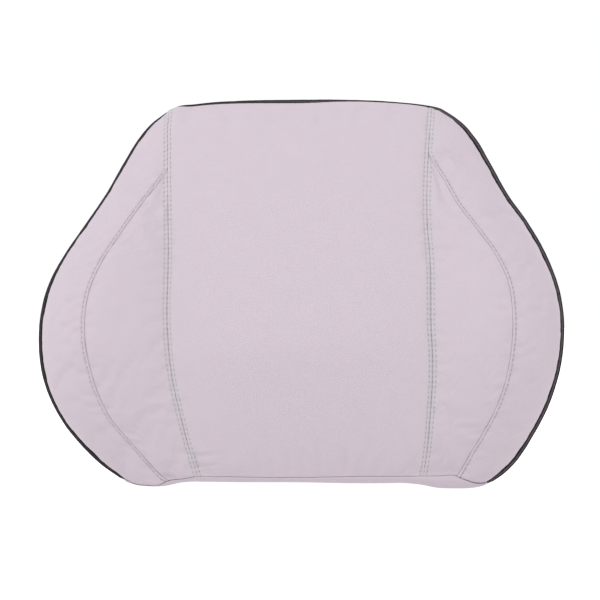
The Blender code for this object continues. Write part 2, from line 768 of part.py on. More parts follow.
def buckle_plug():
    """A block with a strap bar, and a tongue between two sprung prongs that enter the socket."""
    body = buckle_block("buckle_plug", (GAP, PLUG_LENGTH), PLUG_HALF, 0.0)
    pieces = strap_frame("plug", PLUG_RAILS_X, PLUG_BAR_X, 1)
    pieces.append(part_of("plug_tongue", TONGUE_X, PRONG_RISE, TONGUE_HALF))
    for sign, word in ((-1, "low"), (1, "high")):
        bm = bmesh.new()
        prong(bm, sign)
        pieces.append(helper(f"plug_prong_{word}", bm))
    combine(body, pieces, "UNION")


def strap_adjuster():
    """Three bars between two rails: the strap runs over the outer bars and under the middle one."""
    inside = RAIL_SPAN[0]
    bm = bmesh.new()
    low_x, high_x = both_ways(ADJUSTER_X, ADJUSTER_HALF)
    on_back(bm, (low_x, high_x), ADJUSTER_RISE, both_ways(STRAP_Z, inside + ADJUSTER_RAIL))
    round_upright(bm, ADJUSTER_CORNER, 4)
    body = finish("strap_adjuster", bm, PLASTIC, origin=rise(ADJUSTER_X, 0, STRAP_Z))
    wide = both_ways(ADJUSTER_X, 2 * ADJUSTER_HALF)
    window = part_of("adjuster_window", wide, ADJUSTER_WINDOW_RISE, inside)
    combine(body, (window,), "DIFFERENCE")
    bars = []
    for name, x, width, ups in (
        ("adjuster_bar_near", low_x + BAR_INSET, OUTER_BAR, BAR_RISE),
        ("adjuster_bar_far", high_x - BAR_INSET - OUTER_BAR, OUTER_BAR, BAR_RISE),
        ("adjuster_bar_middle", ADJUSTER_X - MIDDLE_BAR / 2, MIDDLE_BAR, MIDDLE_BAR_RISE),
    ):
        bars.append(part_of(name, (x, x + width), ups, inside + BAR_OVERLAP))
    combine(body, bars, "UNION")


def build():
    for old in list(bpy.data.objects):
        bpy.data.objects.remove(old)
    foam_core()
    liners()
    front_panels()
    bottom_panel()
    edge_piping()
    gussets()
    back_panel("back_panel_lower", 0.0, ZIP_Z - ZIP_OPENING)
    back_panel("back_panel_upper", ZIP_Z + ZIP_OPENING, TOP_Z)
    zip_strips()
    zip_stops()
    zip_slider()
    zip_pull()
    straps()
    buckle_socket()
    buckle_plug()
    strap_adjuster()


build()
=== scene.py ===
"""Lumbar support cushion: sewn fabric, piping, mesh back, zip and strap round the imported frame.

Metres, +Z up, the front to -Y. Depths are measured forwards from the flat back. A row of the
front is named by its height where it meets the side, because rows bow up towards the top's crown.
"""

import math

import bpy
import numpy as np
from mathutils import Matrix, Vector


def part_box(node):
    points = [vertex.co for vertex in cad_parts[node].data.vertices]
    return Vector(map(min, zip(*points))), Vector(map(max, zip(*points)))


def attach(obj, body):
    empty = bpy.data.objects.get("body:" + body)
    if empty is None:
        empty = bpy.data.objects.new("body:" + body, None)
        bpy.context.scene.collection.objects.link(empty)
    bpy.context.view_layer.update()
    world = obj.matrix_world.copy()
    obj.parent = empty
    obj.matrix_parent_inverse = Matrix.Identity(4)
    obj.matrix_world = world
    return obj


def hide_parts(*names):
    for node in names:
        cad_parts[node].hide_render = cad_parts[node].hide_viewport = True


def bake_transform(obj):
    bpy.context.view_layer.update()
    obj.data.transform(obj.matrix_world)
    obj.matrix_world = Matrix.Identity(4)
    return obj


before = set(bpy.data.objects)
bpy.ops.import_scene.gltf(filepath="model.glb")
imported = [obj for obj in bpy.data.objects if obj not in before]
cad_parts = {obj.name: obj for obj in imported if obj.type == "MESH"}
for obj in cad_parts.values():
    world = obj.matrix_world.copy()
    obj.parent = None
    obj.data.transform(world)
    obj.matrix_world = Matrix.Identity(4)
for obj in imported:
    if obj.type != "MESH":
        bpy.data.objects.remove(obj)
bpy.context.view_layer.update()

# ---- Driving places, from the frame ----
MM = 0.001
BODY = "cushion"
BACK_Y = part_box("back_panel_upper")[1].y
COVER = BACK_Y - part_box("back_panel_upper")[0].y
GAP = 0.0003  # the space that touching meshes keep

def mm(*knots):
    """A table's pairs, turned from millimetres into metres."""
    return np.array(knots) * MM


# ---- Outline of the front cover's edge: half width at a row. The sides are not quite alike ----
OUTLINE = {
    1: mm((10, 162.2), (16, 172.5), (23, 181.5), (32.5, 189.7), (44.5, 197.6), (69, 210.2),
          (95, 218.6), (126.5, 223), (145.5, 222.7), (171, 218.2), (196, 208.7), (222, 194.4),
          (246.5, 177.4), (276, 161.2), (297, 148.8), (309, 138.6), (314, 132.3), (321, 121.5)),
    -1: mm((10, 152.1), (21, 171.2), (30, 182.3), (41.7, 194), (67, 210.8), (93, 220),
           (121.5, 223.1), (145, 221.7), (171, 215.4), (197, 201.9), (223, 184.5), (248, 168),
           (278, 151.2), (299, 138.4), (311, 128.2), (316.5, 122.2), (321, 116.8)),
}
ROW_LOW = 0.010
ROW_HIGH = 0.321
CORNER_X = {1: 0.1215, -1: 0.1168}
CROWN_RISE = 0.009
CROWN_POWER = {1: 2.6, -1: 3.6}
CORNER_ROLL = 0.0015
ROLL_POWER = 20
CORNER_LIFT = 0.0024
CORNER_LIFT_X = -0.1085
CORNER_LIFT_WIDTH = 0.009
COVER_INSET = {
    1: mm((10, 1), (19, 2.3), (32, 2), (49, 1.6), (74, 1.6), (108, 1.2), (160, 1.1), (202, 1.4),
          (245, 1.2), (279, 1.4), (305, 1.5), (321, 0)),
    -1: mm((10, 1), (19, 2.6), (32, 3.1), (49, 2.5), (74, 2.7), (108, 3.4), (134, 3.3),
           (160, 3.6), (202, 1.8), (250, 0.6), (305, 0.3), (321, 0)),
}
TOP_INSET = mm(
    (-120, 0), (-75, 0.3), (-50, 0.7), (-15, 1.2), (0, 1.3), (13, 1), (26, 0.4), (50, -0.3),
    (77, -0.5), (102, -0.5), (118, 0),
)
TOP_ROLL = 0.024
UPPER_ROW = 0.25  # where the rows start to be drawn in by TOP_INSET

# ---- Seams: distance from the middle at a row ----
STRAIGHT = {
    1: mm((10, 106.6), (32, 109.6), (65, 112.5), (106, 114.4), (138, 113), (185, 112.5),
          (229, 109.6), (278, 110.6), (321, 113.6)),
    -1: mm((10, 83.2), (50, 93), (95.5, 102.2), (137, 106), (191.5, 106.7), (262, 111),
           (300, 113), (321, 113.8)),
}
CURVED = {
    1: mm((10, 134.4), (30, 144.5), (50, 156.5), (71.5, 166.9), (94, 174.1), (113, 177.4),
          (147.5, 179.1), (178, 174.2), (197, 165.1), (218, 150.5), (239, 135), (261, 123.1),
          (280.5, 110.7)),
    -1: mm((10, 108.2), (37, 136.3), (54, 151.3), (77, 162.7), (102.5, 169.6), (132.5, 173.3),
           (166, 170), (188, 161.8), (215, 146.4), (240, 131.1), (268, 111.5)),
}
TIP = {1: 0.2805, -1: 0.268}

# ---- Depth of the padding at a row, and how far the crest stands above the straight seam ----
MIDDLE_DEPTH = mm(
    (10, 88), (60, 101.5), (95, 108.8), (112, 111.4), (122, 111.8), (134, 110.6), (160, 105.2),
    (220, 88), (280, 67), (321, 53),
)
STRAIGHT_DEPTH = mm(
    (10, 86), (60, 98), (128, 104.5), (160, 101), (220, 85), (280, 64.5), (321, 51),
)
CREST_RISE = np.array((
    (0, -3), (0.1, -1.5), (0.256, 4), (0.44, 10.6), (0.58, 12.6), (0.73, 12.2), (0.89, 5), (1, 0),
)) * (1, MM)
EDGE_DEPTH = mm(
    (10, 54), (50, 57), (125, 62), (200, 56), (260, 48), (321, 42),
)

# ---- Base: height of the hem seam, and of the arch under it, across the width ----
HEM_LINE = mm(
    (-156, 4.6), (-147, 4), (-138, 1.7), (-127, 1.2), (-116.5, 1.8), (-109, 5.2), (-97, 7.3),
    (-85, 9.4), (-64, 9.9), (-20, 9.7), (20, 10.3), (50, 11.1), (87, 11.4), (120, 11.7),
    (133, 11.8), (140, 8.9), (152, 5), (162, 4.1),
)
ARCH_LINE = mm(
    (-165, 0), (-125, 0), (-112, 0.3), (-100, 2.9), (-89, 4.1), (-78, 4.2), (-50, 4.2), (3, 4.6),
    (50, 4.1), (75, 4.3), (90, 4.5), (103, 3.4), (120, 0.3), (132, 0), (165, 0),
)
HEM_FADE = 0.045
BASE_INSET = 0.014

# ---- Sewing: each kind of seam's turn-in, groove, ridge and dip under its topstitching ----
PITCH = 4.3 * MM
TWIN = 2.7 * MM
# Distances of a panel's columns from a seam. The topstitching lies on one of them.
NEAR = np.array((0, 0.2, 0.45, 0.75, 1.1, 1.5, 1.9, 2.3, 2.7, 3.1, 3.6, 4.3, 5.2, 6.6, 8.5)) * MM
TWIN_COLUMN = 8
ROW_STEP = 1.1 * MM
SEWING = {
    "straight": np.array((0.26, 0.40, 0.12, 0.38)) * MM,
    "welt": np.array((0.5, 0.8, 0.65, 0.55)) * MM,
    "plain": np.array((0.5, 0.8, 0.0, 0.0)) * MM,
    "edge": np.array((0.9, 0.5, 0.0, 0.0)) * MM,
    "hem": np.array((0.22, 0.35, 0.1, 0.0)) * MM,
}
STRAIGHT_LIP = 0.4 * MM  # a seam that turns in less than this is a straight one
CREASES = (-0.079, 0.0285, 0.011, 0.0022), (-0.076, 0.0195, 0.010, 0.0018)
CREASE_DEPTH = 1.6 * MM
SWELL_CAP = 1.5 * MM
ROLL_FADE = 0.035  # a bolster's cloth swells less than this far from its outer edge
PIPING_R = 2.3 * MM
PIPING_TAIL = 3 * MM
HIDDEN_X = -0.113
FLANGE = 2.2  # how far the piping's inner half is drawn out
STITCH_INSET = 4.0 * MM  # from the back's edge, and from the zip's, to their topstitching
THREAD_FAT = np.array((0.35, 0.85, 1.0, 1.0, 0.85, 0.35))
THREAD_DIVE = np.array((-1.6, -0.3, 0.1, 0.1, -0.3, -1.6))
SIM_STEP = 5 * MM
SIM_FRAMES = 20

# ---- Foam and liner: how far each lies inside the cover, and the points of a shell's line ----
FOAM_INSET = 4.8 * MM
LINER_INSET = 3.8 * MM
LINER_BACK = 4.0 * MM
SHELL_FRONT = 121
SHELL_SIDE = 13

# ---- Back: how a panel's columns and rows start from its edges. Zip and strap ----
COLUMNS_NEAR = np.array((0, 0.25, 0.6, 1.0, 1.5, 2.1, 2.8, 4.0, 6.0)) * MM
ROWS_NEAR = np.array((0, 0.25, 0.6, 1.0, 1.5, 2.1, 2.8, 3.5, 4.0, 4.5, 5.2)) * MM
ZIP_Z = (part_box("zip_tape_lower")[0].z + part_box("zip_tape_upper")[1].z) / 2
ZIP_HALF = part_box("zip_tape_upper")[1].x
ZIP_OPENING = 0.010
GUARD_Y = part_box("zip_slider")[0].y - 0.25 * MM
STRAP_LOW, STRAP_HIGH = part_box("strap_left")[0].z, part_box("strap_left")[1].z
STRAP_Z = (STRAP_LOW + STRAP_HIGH) / 2
STRAP_END_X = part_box("strap_right")[1].x
PLY = 0.0012  # the webbing's thickness, and how far its two layers' middles rise from the back
LOWER_PLY = 0.0009
UPPER_PLY = 0.0042
RIB = 2.4 * MM
BAR_X = {-1: -0.0385, 1: 0.0215}  # the buckle's bars that the two halves loop round
FREE_END_X = {-1: -0.075, 1: 0.150}
SEWN_END_X = 0.188, 0.203
FREE_BOX_X = -0.072, -0.056


# ---- Curves and waves ----
def hermite(ts, values, t):
    """Cubic through values at ts, with each slope taken from the neighbouring values."""
    slopes = np.gradient(values, ts, axis=0)
    t = np.clip(t, ts[0], ts[-1])
    i = np.clip(np.searchsorted(ts, t, side="right") - 1, 0, len(ts) - 2)
    width = ts[i + 1] - ts[i]
    u = (t - ts[i]) / width
    if values.ndim > 1:
        width, u = width[:, None], u[:, None]
    start = (1 + 2 * u) * (1 - u) ** 2 * values[i] + u * (1 - u) ** 2 * width * slopes[i]
    end = u * u * (3 - 2 * u) * values[i + 1] - u * u * (1 - u) * width * slopes[i + 1]
    return start + end


def smooth(knots, t):
    """A table's value at t, on a smooth curve through its pairs."""
    return hermite(*knots.T, t)


def step(t):
    """0 below 0, 1 above 1 and a soft rise between."""
    t = np.clip(t, 0, 1)
    return t * t * (3 - 2 * t)


def bump(t):
    """A bell of height one at 0."""
    return np.exp(-t * t)


def unit(arrows):
    """Vectors brought to length one."""
    return arrows / np.maximum(np.linalg.norm(arrows, axis=-1, keepdims=True), 1e-12)


def vectors(x, y, z):
    """An array of vectors from their parts, which are arrays or single numbers."""
    return np.stack(np.broadcast_arrays(x, y, z), axis=-1)


def circle(sides):
    """Angles evenly round a full turn."""
    return np.linspace(0, math.tau, sides, endpoint=False)


def run_length(points, axis):
    """Distance along a grid's rows or columns from its first line."""
    steps = np.linalg.norm(np.diff(points, axis=axis), axis=-1)
    start = np.zeros_like(np.take(steps, [0], axis=axis))
    return np.concatenate((start, np.cumsum(steps, axis=axis)), axis=axis)


def path_run(path):
    """Distance along a path from its start."""
    return run_length(path[None], 1)[0]


def points_at(at, run, path):
    """The points of a path at distances along it."""
    return np.stack([np.interp(at, run, part) for part in path.T], axis=-1)


def ripple(s, seed, longest=0.045, octaves=6):
    """A wandering wave of height about one along s, always the same for a seed."""
    rng = np.random.default_rng(seed)
    finer, fainter, whole = 1.45, 1.25, 2.4
    total = 0 * s
    for octave in range(octaves):
        turns = math.tau * s * finer**octave / longest
        total = total + np.sin(turns + rng.uniform(0, math.tau)) / fainter**octave
    return total / whole


def sided(pair, x):
    """The left or the right of a pair, by the sign of x."""
    return np.where(x < 0, pair[-1], pair[1])


def by_side(tables, x, row):
    """A table's value at a row, from the left or the right one by the sign of x."""
    return sided({side: smooth(table, row) for side, table in tables.items()}, x)


# ---- The front surface ----
def crown(x):
    """Rise of the top above its corners, with the left corner pulled up where its seams meet."""
    share = np.minimum(1, np.abs(x) / sided(CORNER_X, x))
    bow = (CROWN_RISE - CORNER_ROLL) * (1 - share ** sided(CROWN_POWER, x))
    bow = bow + CORNER_ROLL * (1 - share**ROLL_POWER)
    return bow + CORNER_LIFT * bump((x - CORNER_LIFT_X) / CORNER_LIFT_WIDTH)


def crowned(x, row):
    """Height of a point of a row that bows up towards the crown of the top."""
    share = np.clip((row - ROW_LOW) / (ROW_HIGH - ROW_LOW), 0, 1)
    return row + crown(x) * share**3


def height(x, row):
    """Height of a point of the front, with the hem's dips near the base and the top's crown."""
    fade = np.clip(1 - (row - ROW_LOW) / HEM_FADE, 0, 1) ** 2
    return crowned(x, row) + (smooth(HEM_LINE, x) - ROW_LOW) * fade


def cover_edge(x, row):
    """Half width of the front cover, whose side edges lie inside the piping."""
    return by_side(OUTLINE, x, row) - by_side(COVER_INSET, x, row)


def crest(x, row):
    """Distance from the middle, and depth, of the crest that the curved seam follows."""
    share = (row - ROW_LOW) / (sided(TIP, x) - ROW_LOW)
    inner = by_side(STRAIGHT, x, row)
    outer = np.where(share < 1, np.maximum(by_side(CURVED, x, row), inner), inner)
    rise = np.where(share < 1, smooth(CREST_RISE, np.minimum(share, 1)), 0)
    return outer, smooth(STRAIGHT_DEPTH, row) + rise


def front(x, row):
    """Points on the outside of the front before any sewing pulls it in, for arrays of x and row."""
    across = np.abs(x)
    xs, ds = by_side(STRAIGHT, x, row), smooth(STRAIGHT_DEPTH, row)
    xc, dc = crest(x, row)
    xe, de = cover_edge(x, row), smooth(EDGE_DEPTH, row)
    middle = smooth(MIDDLE_DEPTH, row)
    depth = middle + (ds - middle) * np.minimum(1, across / xs) ** 2
    climb = np.clip((across - xs) / np.maximum(xc - xs, 1e-6), 0, 1)
    depth = np.where(across > xs, ds + (dc - ds) * np.sin(math.pi / 2 * climb), depth)
    fall = np.clip((across - xc) / (xe - xc), 0, 1)
    depth = np.where(across > xc, de + (dc - de) * np.sqrt(1 - fall * fall), depth)
    roll = np.clip((row - (ROW_HIGH - TOP_ROLL)) / TOP_ROLL, 0, 1)
    depth = de + (depth - de) * np.sqrt(1 - roll * roll)
    low = smooth(TOP_INSET, x) * step((row - UPPER_ROW) / (ROW_HIGH - UPPER_ROW))
    return vectors(x, BACK_Y - depth, height(x, row) - low)


def grid_normals(points):
    """Unit normals of a grid whose columns run to +X and rows to +Z, as seen from -Y."""
    return unit(np.cross(np.gradient(points, axis=1), np.gradient(points, axis=0)))


# ---- Objects ----
def link(name, data):
    """An object of the data, in the scene."""
    made = bpy.data.objects.new(name, data)
    bpy.context.scene.collection.objects.link(made)
    return made


def mesh_from(name, verts, quads, layers=None):
    """A smooth-shaded mesh object from arrays. layers are named vectors kept for its material."""
    mesh = bpy.data.meshes.new(name)
    mesh.vertices.add(len(verts))
    mesh.vertices.foreach_set("co", np.asarray(verts, dtype=np.float32).ravel())
    mesh.loops.add(quads.size)
    mesh.loops.foreach_set("vertex_index", quads.astype(np.int32).ravel())
    mesh.polygons.add(len(quads))
    starts = np.arange(len(quads), dtype=np.int32) * quads.shape[1]
    mesh.polygons.foreach_set("loop_start", starts)
    mesh.update(calc_edges=True)
    mesh.validate()
    mesh.shade_smooth()
    for layer, values in (layers or {}).items():
        made = mesh.attributes.new(layer, "FLOAT_VECTOR", "POINT")
        made.data.foreach_set("vector", np.asarray(values, dtype=np.float32).ravel())
    return link(name, mesh)


def grid_quads(rows, columns, around=False):
    """Corner indices of a grid's quads. around joins the last column to the first."""
    ids = np.arange(rows * columns).reshape(rows, columns)
    right = np.roll(ids, -1, axis=1) if around else ids[:, 1:]
    left = ids if around else ids[:, :-1]
    return np.stack((left[:-1], right[:-1], right[1:], left[1:]), axis=-1).reshape(-1, 4)


def grid_object(name, points, around=False, **layers):
    """A mesh object of a grid of points."""
    rows, columns = points.shape[:2]
    flat = {layer: values.reshape(-1, 3) for layer, values in layers.items()}
    return mesh_from(name, points.reshape(-1, 3), grid_quads(rows, columns, around), flat)


def place(piece, look, nodes=(), body=BODY):
    """Give a piece its material and the body it rides on, and hide the CAD nodes it stands for."""
    piece.data.materials.clear()
    piece.data.materials.append(LOOKS[look])
    if body:
        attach(piece, body)
    if nodes:
        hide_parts(*nodes)
    return piece


# ---- Materials ----
class Nodes:
    """A material's node tree, with short calls for the nodes that these fabrics use."""

    def __init__(self, name):
        self.material = bpy.data.materials.new(name)
        self.material.use_nodes = True
        self.tree = self.material.node_tree
        self.shader = self.tree.nodes["Principled BSDF"]

    def add(self, kind, inputs=(), **settings):
        node = self.tree.nodes.new(kind)
        for key, value in settings.items():
            setattr(node, key, value)
        for key, value in dict(inputs).items():
            self.feed(node.inputs[key], value)
        return node

    def feed(self, socket, value):
        if isinstance(value, bpy.types.NodeSocket):
            self.tree.links.new(value, socket)
        else:
            socket.default_value = value

    def math(self, operation, a, b=0.0):
        return self.add("ShaderNodeMath", {0: a, 1: b}, operation=operation).outputs[0]

    def times(self, a, b):
        return self.math("MULTIPLY", a, b)

    def plus(self, a, b):
        return self.math("ADD", a, b)

    def wave(self, value, length, shift=0.0):
        """A sine of a place in metres, from -1 to 1."""
        return self.math("SINE", self.plus(self.times(value, math.tau / length), shift))

    def mix(self, share, a, b):
        inputs = {0: share, 6: a, 7: b}
        return self.add("ShaderNodeMix", inputs, data_type="RGBA").outputs[2]

    def noise(self, vector, scale, detail=2.0, rough=0.5):
        inputs = {"Vector": vector, "Scale": scale, "Detail": detail, "Roughness": rough}
        return self.add("ShaderNodeTexNoise", inputs).outputs["Fac"]

    def ramp(self, value, low, high, to_low=0.0, to_high=1.0):
        inputs = {0: value, 1: low, 2: high, 3: to_low, 4: to_high}
        return self.add("ShaderNodeMapRange", inputs).outputs[0]

    def relief(self, depth, distance, strength=1.0, under=None):
        inputs = {"Height": depth, "Distance": distance, "Strength": strength}
        if under is not None:
            inputs["Normal"] = under
        return self.add("ShaderNodeBump", inputs).outputs["Normal"]

    def layer(self, name):
        """A vector kept on the mesh, and each of its parts."""
        vector = self.add("ShaderNodeAttribute", attribute_name=name).outputs["Vector"]
        parts = self.add("ShaderNodeSeparateXYZ", {0: vector}).outputs
        return vector, parts[0], parts[1], parts[2]

    def object_place(self):
        """The object's own coordinates."""
        return self.add("ShaderNodeTexCoord").outputs["Object"]

    def finished(self, base, normal, rough, **fixed):
        """The material. fixed are values of the shader that are the same all over."""
        inputs = self.shader.inputs
        for key, value in (("Base Color", base), ("Normal", normal), ("Roughness", rough)):
            self.feed(inputs[key], value)
        for key, value in fixed.items():
            inputs[FIXED[key]].default_value = value
        return self.material


FIXED = {
    "specular": "Specular IOR Level", "metallic": "Metallic",
    "sheen": "Sheen Weight", "sheen_rough": "Sheen Roughness",
}


def colour(r, g, b):
    """A linear colour from its everyday 0 to 255 values."""
    values = [v / 255 for v in (r, g, b)]
    return [*(v / 12.92 if v <= 0.04045 else ((v + 0.055) / 1.055) ** 2.4 for v in values), 1.0]


def needle_holes(n):
    """Where the topstitching and the seam's own thread pull a hole in the cloth, from 0 to 1: where
    the front is darkened as painted shade.
    """
    _, distance, run, twin = n.layer("sewn")
    beat = n.ramp(n.wave(run, PITCH, math.pi / 2), 0.35, 0.95)
    off_row = n.math("ABSOLUTE", n.math("SUBTRACT", distance, TWIN))
    on_row = n.ramp(off_row, 0.25 * MM, 0.75 * MM, 1.0, 0.0)
    row = n.times(n.times(on_row, beat), n.math("MINIMUM", twin, 1.0))
    on_line = n.times(n.ramp(distance, 0.3 * MM, 0.8 * MM, 0.8, 0.0), beat)
    line = n.times(on_line, n.ramp(twin, 1.0, 2.0))
    return n.math("MAXIMUM", row, line), n.ramp(distance, 3.5 * MM, 9 * MM, 1.0, 0.0), twin


def front_fabric(name, lit, shade, seam_grey, painted_hole_shade):
    """Fine knit: dotted crossings on both diagonals, smaller yarns between and a soft bloom, with
    painted shade in the needle holes.
    """
    n = Nodes(name)
    vector, s, t, _ = n.layer("cloth")
    cell, yarn = 2.1 * MM, 0.70 * MM
    dots = n.times(n.wave(s, cell), n.wave(t, cell))
    yarns = n.times(n.wave(s, yarn), n.wave(t, yarn))
    weave = n.plus(n.times(dots, 0.65), n.times(yarns, 0.35))
    fuzz = n.noise(vector, 1500.0, 3.0)
    mottle = n.noise(vector, 55.0, 4.0, 0.6)
    level = n.plus(n.plus(n.times(weave, 0.27), n.times(fuzz, 0.5)), n.times(mottle, 0.2))
    base = n.mix(n.ramp(level, 0.0, 0.75), shade, lit)
    holes, near, twin = needle_holes(n)
    greyed = n.times(near, n.ramp(twin, 1.0, 2.0, 0.0, 0.65))
    base = n.mix(n.times(greyed, 0.8), base, seam_grey)
    # Painted shade: the cloth is darkened at each needle hole, beside the seam and along its own
    # stitch line.
    base = n.mix(n.times(holes, 0.58), base, painted_hole_shade)
    normal = n.relief(fuzz, 0.05 * MM, 0.5, n.relief(weave, 0.10 * MM, 0.6))
    rough = n.ramp(mottle, 0.3, 0.7, 0.88, 0.95)
    return n.finished(base, normal, rough, specular=0.2, sheen=0.10, sheen_rough=0.5)


def mesh_fabric(name, yarn_colour, yarn_highlight_and_tone, mesh_hole_shade, cell):
    """Spacer mesh: rows of small round holes, each row half a step on, between rounded yarns, with
    a painted highlight on the yarns' crests and painted shade in the holes.
    """
    n = Nodes(name)
    vector, s, t, _ = n.layer("cloth")
    holes = n.times(n.wave(s, cell), n.wave(t, cell * 1.6))
    opened = n.ramp(holes, 0.25, 0.60)
    yarn = n.times(n.wave(s, cell / 5), n.wave(t, cell / 5))
    depth = n.math("SUBTRACT", n.times(yarn, 0.12), opened)
    tone = n.noise(vector, 70.0, 3.0)
    # Painted light and shade: the yarn is lightest midway between holes, darker towards them and
    # near black inside them.
    base = n.mix(n.ramp(holes, -0.9, 0.2), yarn_highlight_and_tone, yarn_colour)
    base = n.mix(opened, base, mesh_hole_shade)
    # A little of the highlight colour is also mixed in at random, as tone.
    base = n.mix(n.ramp(tone, 0.3, 0.7, 0.0, 0.2), base, yarn_highlight_and_tone)
    rough = n.ramp(opened, 0.0, 1.0, 0.70, 0.95)
    return n.finished(base, n.relief(depth, 0.6 * MM, 0.9), rough, sheen=0.12)


def woven(n, over, vector, dark, light):
    """Colour of a weave from its over and under, and the noise that it is mixed with."""
    tone = n.noise(vector, 240.0, 3.0)
    level = n.plus(n.times(over, 0.3), tone)
    return n.mix(n.ramp(level, 0.2, 0.95), dark, light), tone


def plain_weave(name, dark, light, yarn, rough=0.75, rib=0.0):
    """A plain weave of over and under yarns, with ribs along the cloth where rib is their pitch."""
    n = Nodes(name)
    vector, s, t, _ = n.layer("cloth")
    over = n.times(n.wave(s, yarn * 2), n.wave(t, yarn * 2))
    if rib:
        over = n.plus(n.times(over, 0.35), n.math("ABSOLUTE", n.wave(t, rib * 2)))
    base, tone = woven(n, over, vector, dark, light)
    rough = n.ramp(tone, 0.3, 0.7, rough - 0.06, rough + 0.06)
    return n.finished(base, n.relief(over, yarn * 0.4, 0.7), rough, specular=0.15)


def piping_fabric(name, dark, light, crest_highlight):
    """Bias-cut cloth round a cord: a fine weave, with a painted highlight along the crest that
    faces the front.
    """
    n = Nodes(name)
    vector, s, t, _ = n.layer("cloth")
    yarn, crest_place = 1.4 * MM, PIPING_R * math.radians(284)
    over = n.times(n.wave(s, yarn), n.wave(n.plus(s, t), yarn))
    base, tone = woven(n, over, vector, dark, light)
    # Painted highlight: the cord is paler along its front crest, at random strength, fading to
    # about a third past the middle of the run.
    off_crest = n.math("ABSOLUTE", n.math("SUBTRACT", t, crest_place))
    highlight_share = n.ramp(off_crest, 0.25 * MM, 1.0 * MM, 1.0, 0.0)
    highlight_share = n.times(highlight_share, n.ramp(tone, 0.25, 0.7, 0.5, 0.9))
    highlight_share = n.times(highlight_share, n.ramp(s, 0.40, 0.55, 1.0, 0.35))
    rough = n.ramp(tone, 0.3, 0.7, 0.70, 0.84)
    base = n.mix(highlight_share, base, crest_highlight)
    return n.finished(base, n.relief(over, 0.25 * MM, 0.6), rough, specular=0.12)


def moulded(name, base, light, rough, metallic=0.0, grain=900.0):
    """Moulded plastic or cast metal with a fine grain, in the object's own coordinates."""
    n = Nodes(name)
    where = n.object_place()
    fine, broad = n.noise(where, grain, 3.0), n.noise(where, 70.0, 3.0)
    base = n.mix(n.ramp(broad, 0.3, 0.75), base, light)
    rough = n.ramp(broad, 0.3, 0.7, rough - 0.07, rough + 0.08)
    return n.finished(base, n.relief(fine, 0.03 * MM, 0.5), rough, metallic=metallic)


def cellular(name, base, shade, scale):
    """Open-cell foam or fine knit: small pits over a soft mottled tone."""
    n = Nodes(name)
    where = n.object_place()
    cells = n.add("ShaderNodeTexVoronoi", {"Vector": where, "Scale": scale}).outputs["Distance"]
    tone = n.noise(where, 45.0, 3.0)
    base = n.mix(n.ramp(tone, 0.3, 0.7), shade, base)
    return n.finished(base, n.relief(cells, 0.3 * MM, 0.5), n.ramp(tone, 0.3, 0.7, 0.88, 0.97))


def looks():
    """Every material by its short name. Colours are everyday ones, from 0 to 255."""
    made = {
        # The front's last colour is the painted shade in the needle holes.
        "front": (front_fabric, "front_fabric", (183, 172.5, 181), (166, 155, 164),
                  (171, 166, 171), (106, 97, 106)),
        "thread": (plain_weave, "thread", (163, 156, 162), (186, 178, 185), 0.4 * MM),
        # The piping's third colour is its painted highlight.
        "piping": (piping_fabric, "piping_fabric", (20, 17, 20), (34, 30, 33), (92, 86, 90)),
        # A mesh's second colour is a painted highlight, its third the painted shade in the holes.
        "gusset": (mesh_fabric, "gusset_mesh", (52, 48, 53), (78, 73, 79), (16, 15, 17), 2.6 * MM),
        "back": (mesh_fabric, "back_mesh", (54, 52, 56), (84, 81, 86), (14, 14, 15), 3.4 * MM),
        "tape": (plain_weave, "zip_tape", (22, 22, 24), (40, 40, 43), 0.6 * MM),
        "webbing": (plain_weave, "strap_webbing", (14, 14, 16), (40, 40, 43), 0.8 * MM, 0.6, RIB),
        "dark_thread": (plain_weave, "dark_thread", (44, 42, 46), (70, 67, 72), 0.4 * MM),
        "coil": (moulded, "nylon_coil", (22, 22, 24), (38, 38, 41), 0.35),
        "plastic": (moulded, "buckle_plastic", (25, 25, 27), (36, 36, 39), 0.40),
        "metal": (moulded, "zip_metal", (96, 96, 100), (128, 128, 132), 0.32, 1.0, 400.0),
        "foam": (cellular, "memory_foam", (238, 228, 200), (226, 212, 180), 420.0),
        "knit": (cellular, "liner_knit", (232, 232, 230), (214, 214, 212), 700.0),
    }
    for look, (make, name, *values) in made.items():
        values = [colour(*value) if isinstance(value, tuple) else value for value in values]
        made[look] = make(name, *values)
    return made


# ---- Cloth simulation ----
def even_lines(length):
    """Indices of the lines of a dense grid that stand about a simulation step apart."""
    count = max(3, int(round(length[-1] / SIM_STEP)))
    return np.unique(np.searchsorted(length, np.linspace(0, length[-1] * 0.99999, count + 1)))


def simulated(cloth):
    """Where a cloth object's vertices end once it has swelled and settled. The object goes."""
    modifier = cloth.modifiers.new("cloth", "CLOTH")
    settings = modifier.settings
    settings.quality = 6
    settings.vertex_group_mass = "sewn"
    settings.use_pressure = True
    settings.uniform_pressure_force = 4.0
    settings.shrink_min = -0.008
    settings.bending_stiffness = 0.3
    settings.effector_weights.gravity = 0.0
    modifier.point_cache.frame_start = 1
    modifier.point_cache.frame_end = SIM_FRAMES
    for moment in range(1, SIM_FRAMES + 1):
        bpy.context.scene.frame_set(moment)
    done = cloth.evaluated_get(bpy.context.evaluated_depsgraph_get()).data
    ends = np.empty(len(done.vertices) * 3)
    done.vertices.foreach_get("co", ends)
    bpy.data.objects.remove(cloth)
    bpy.context.scene.frame_set(1)
    return ends.reshape(-1, 3)


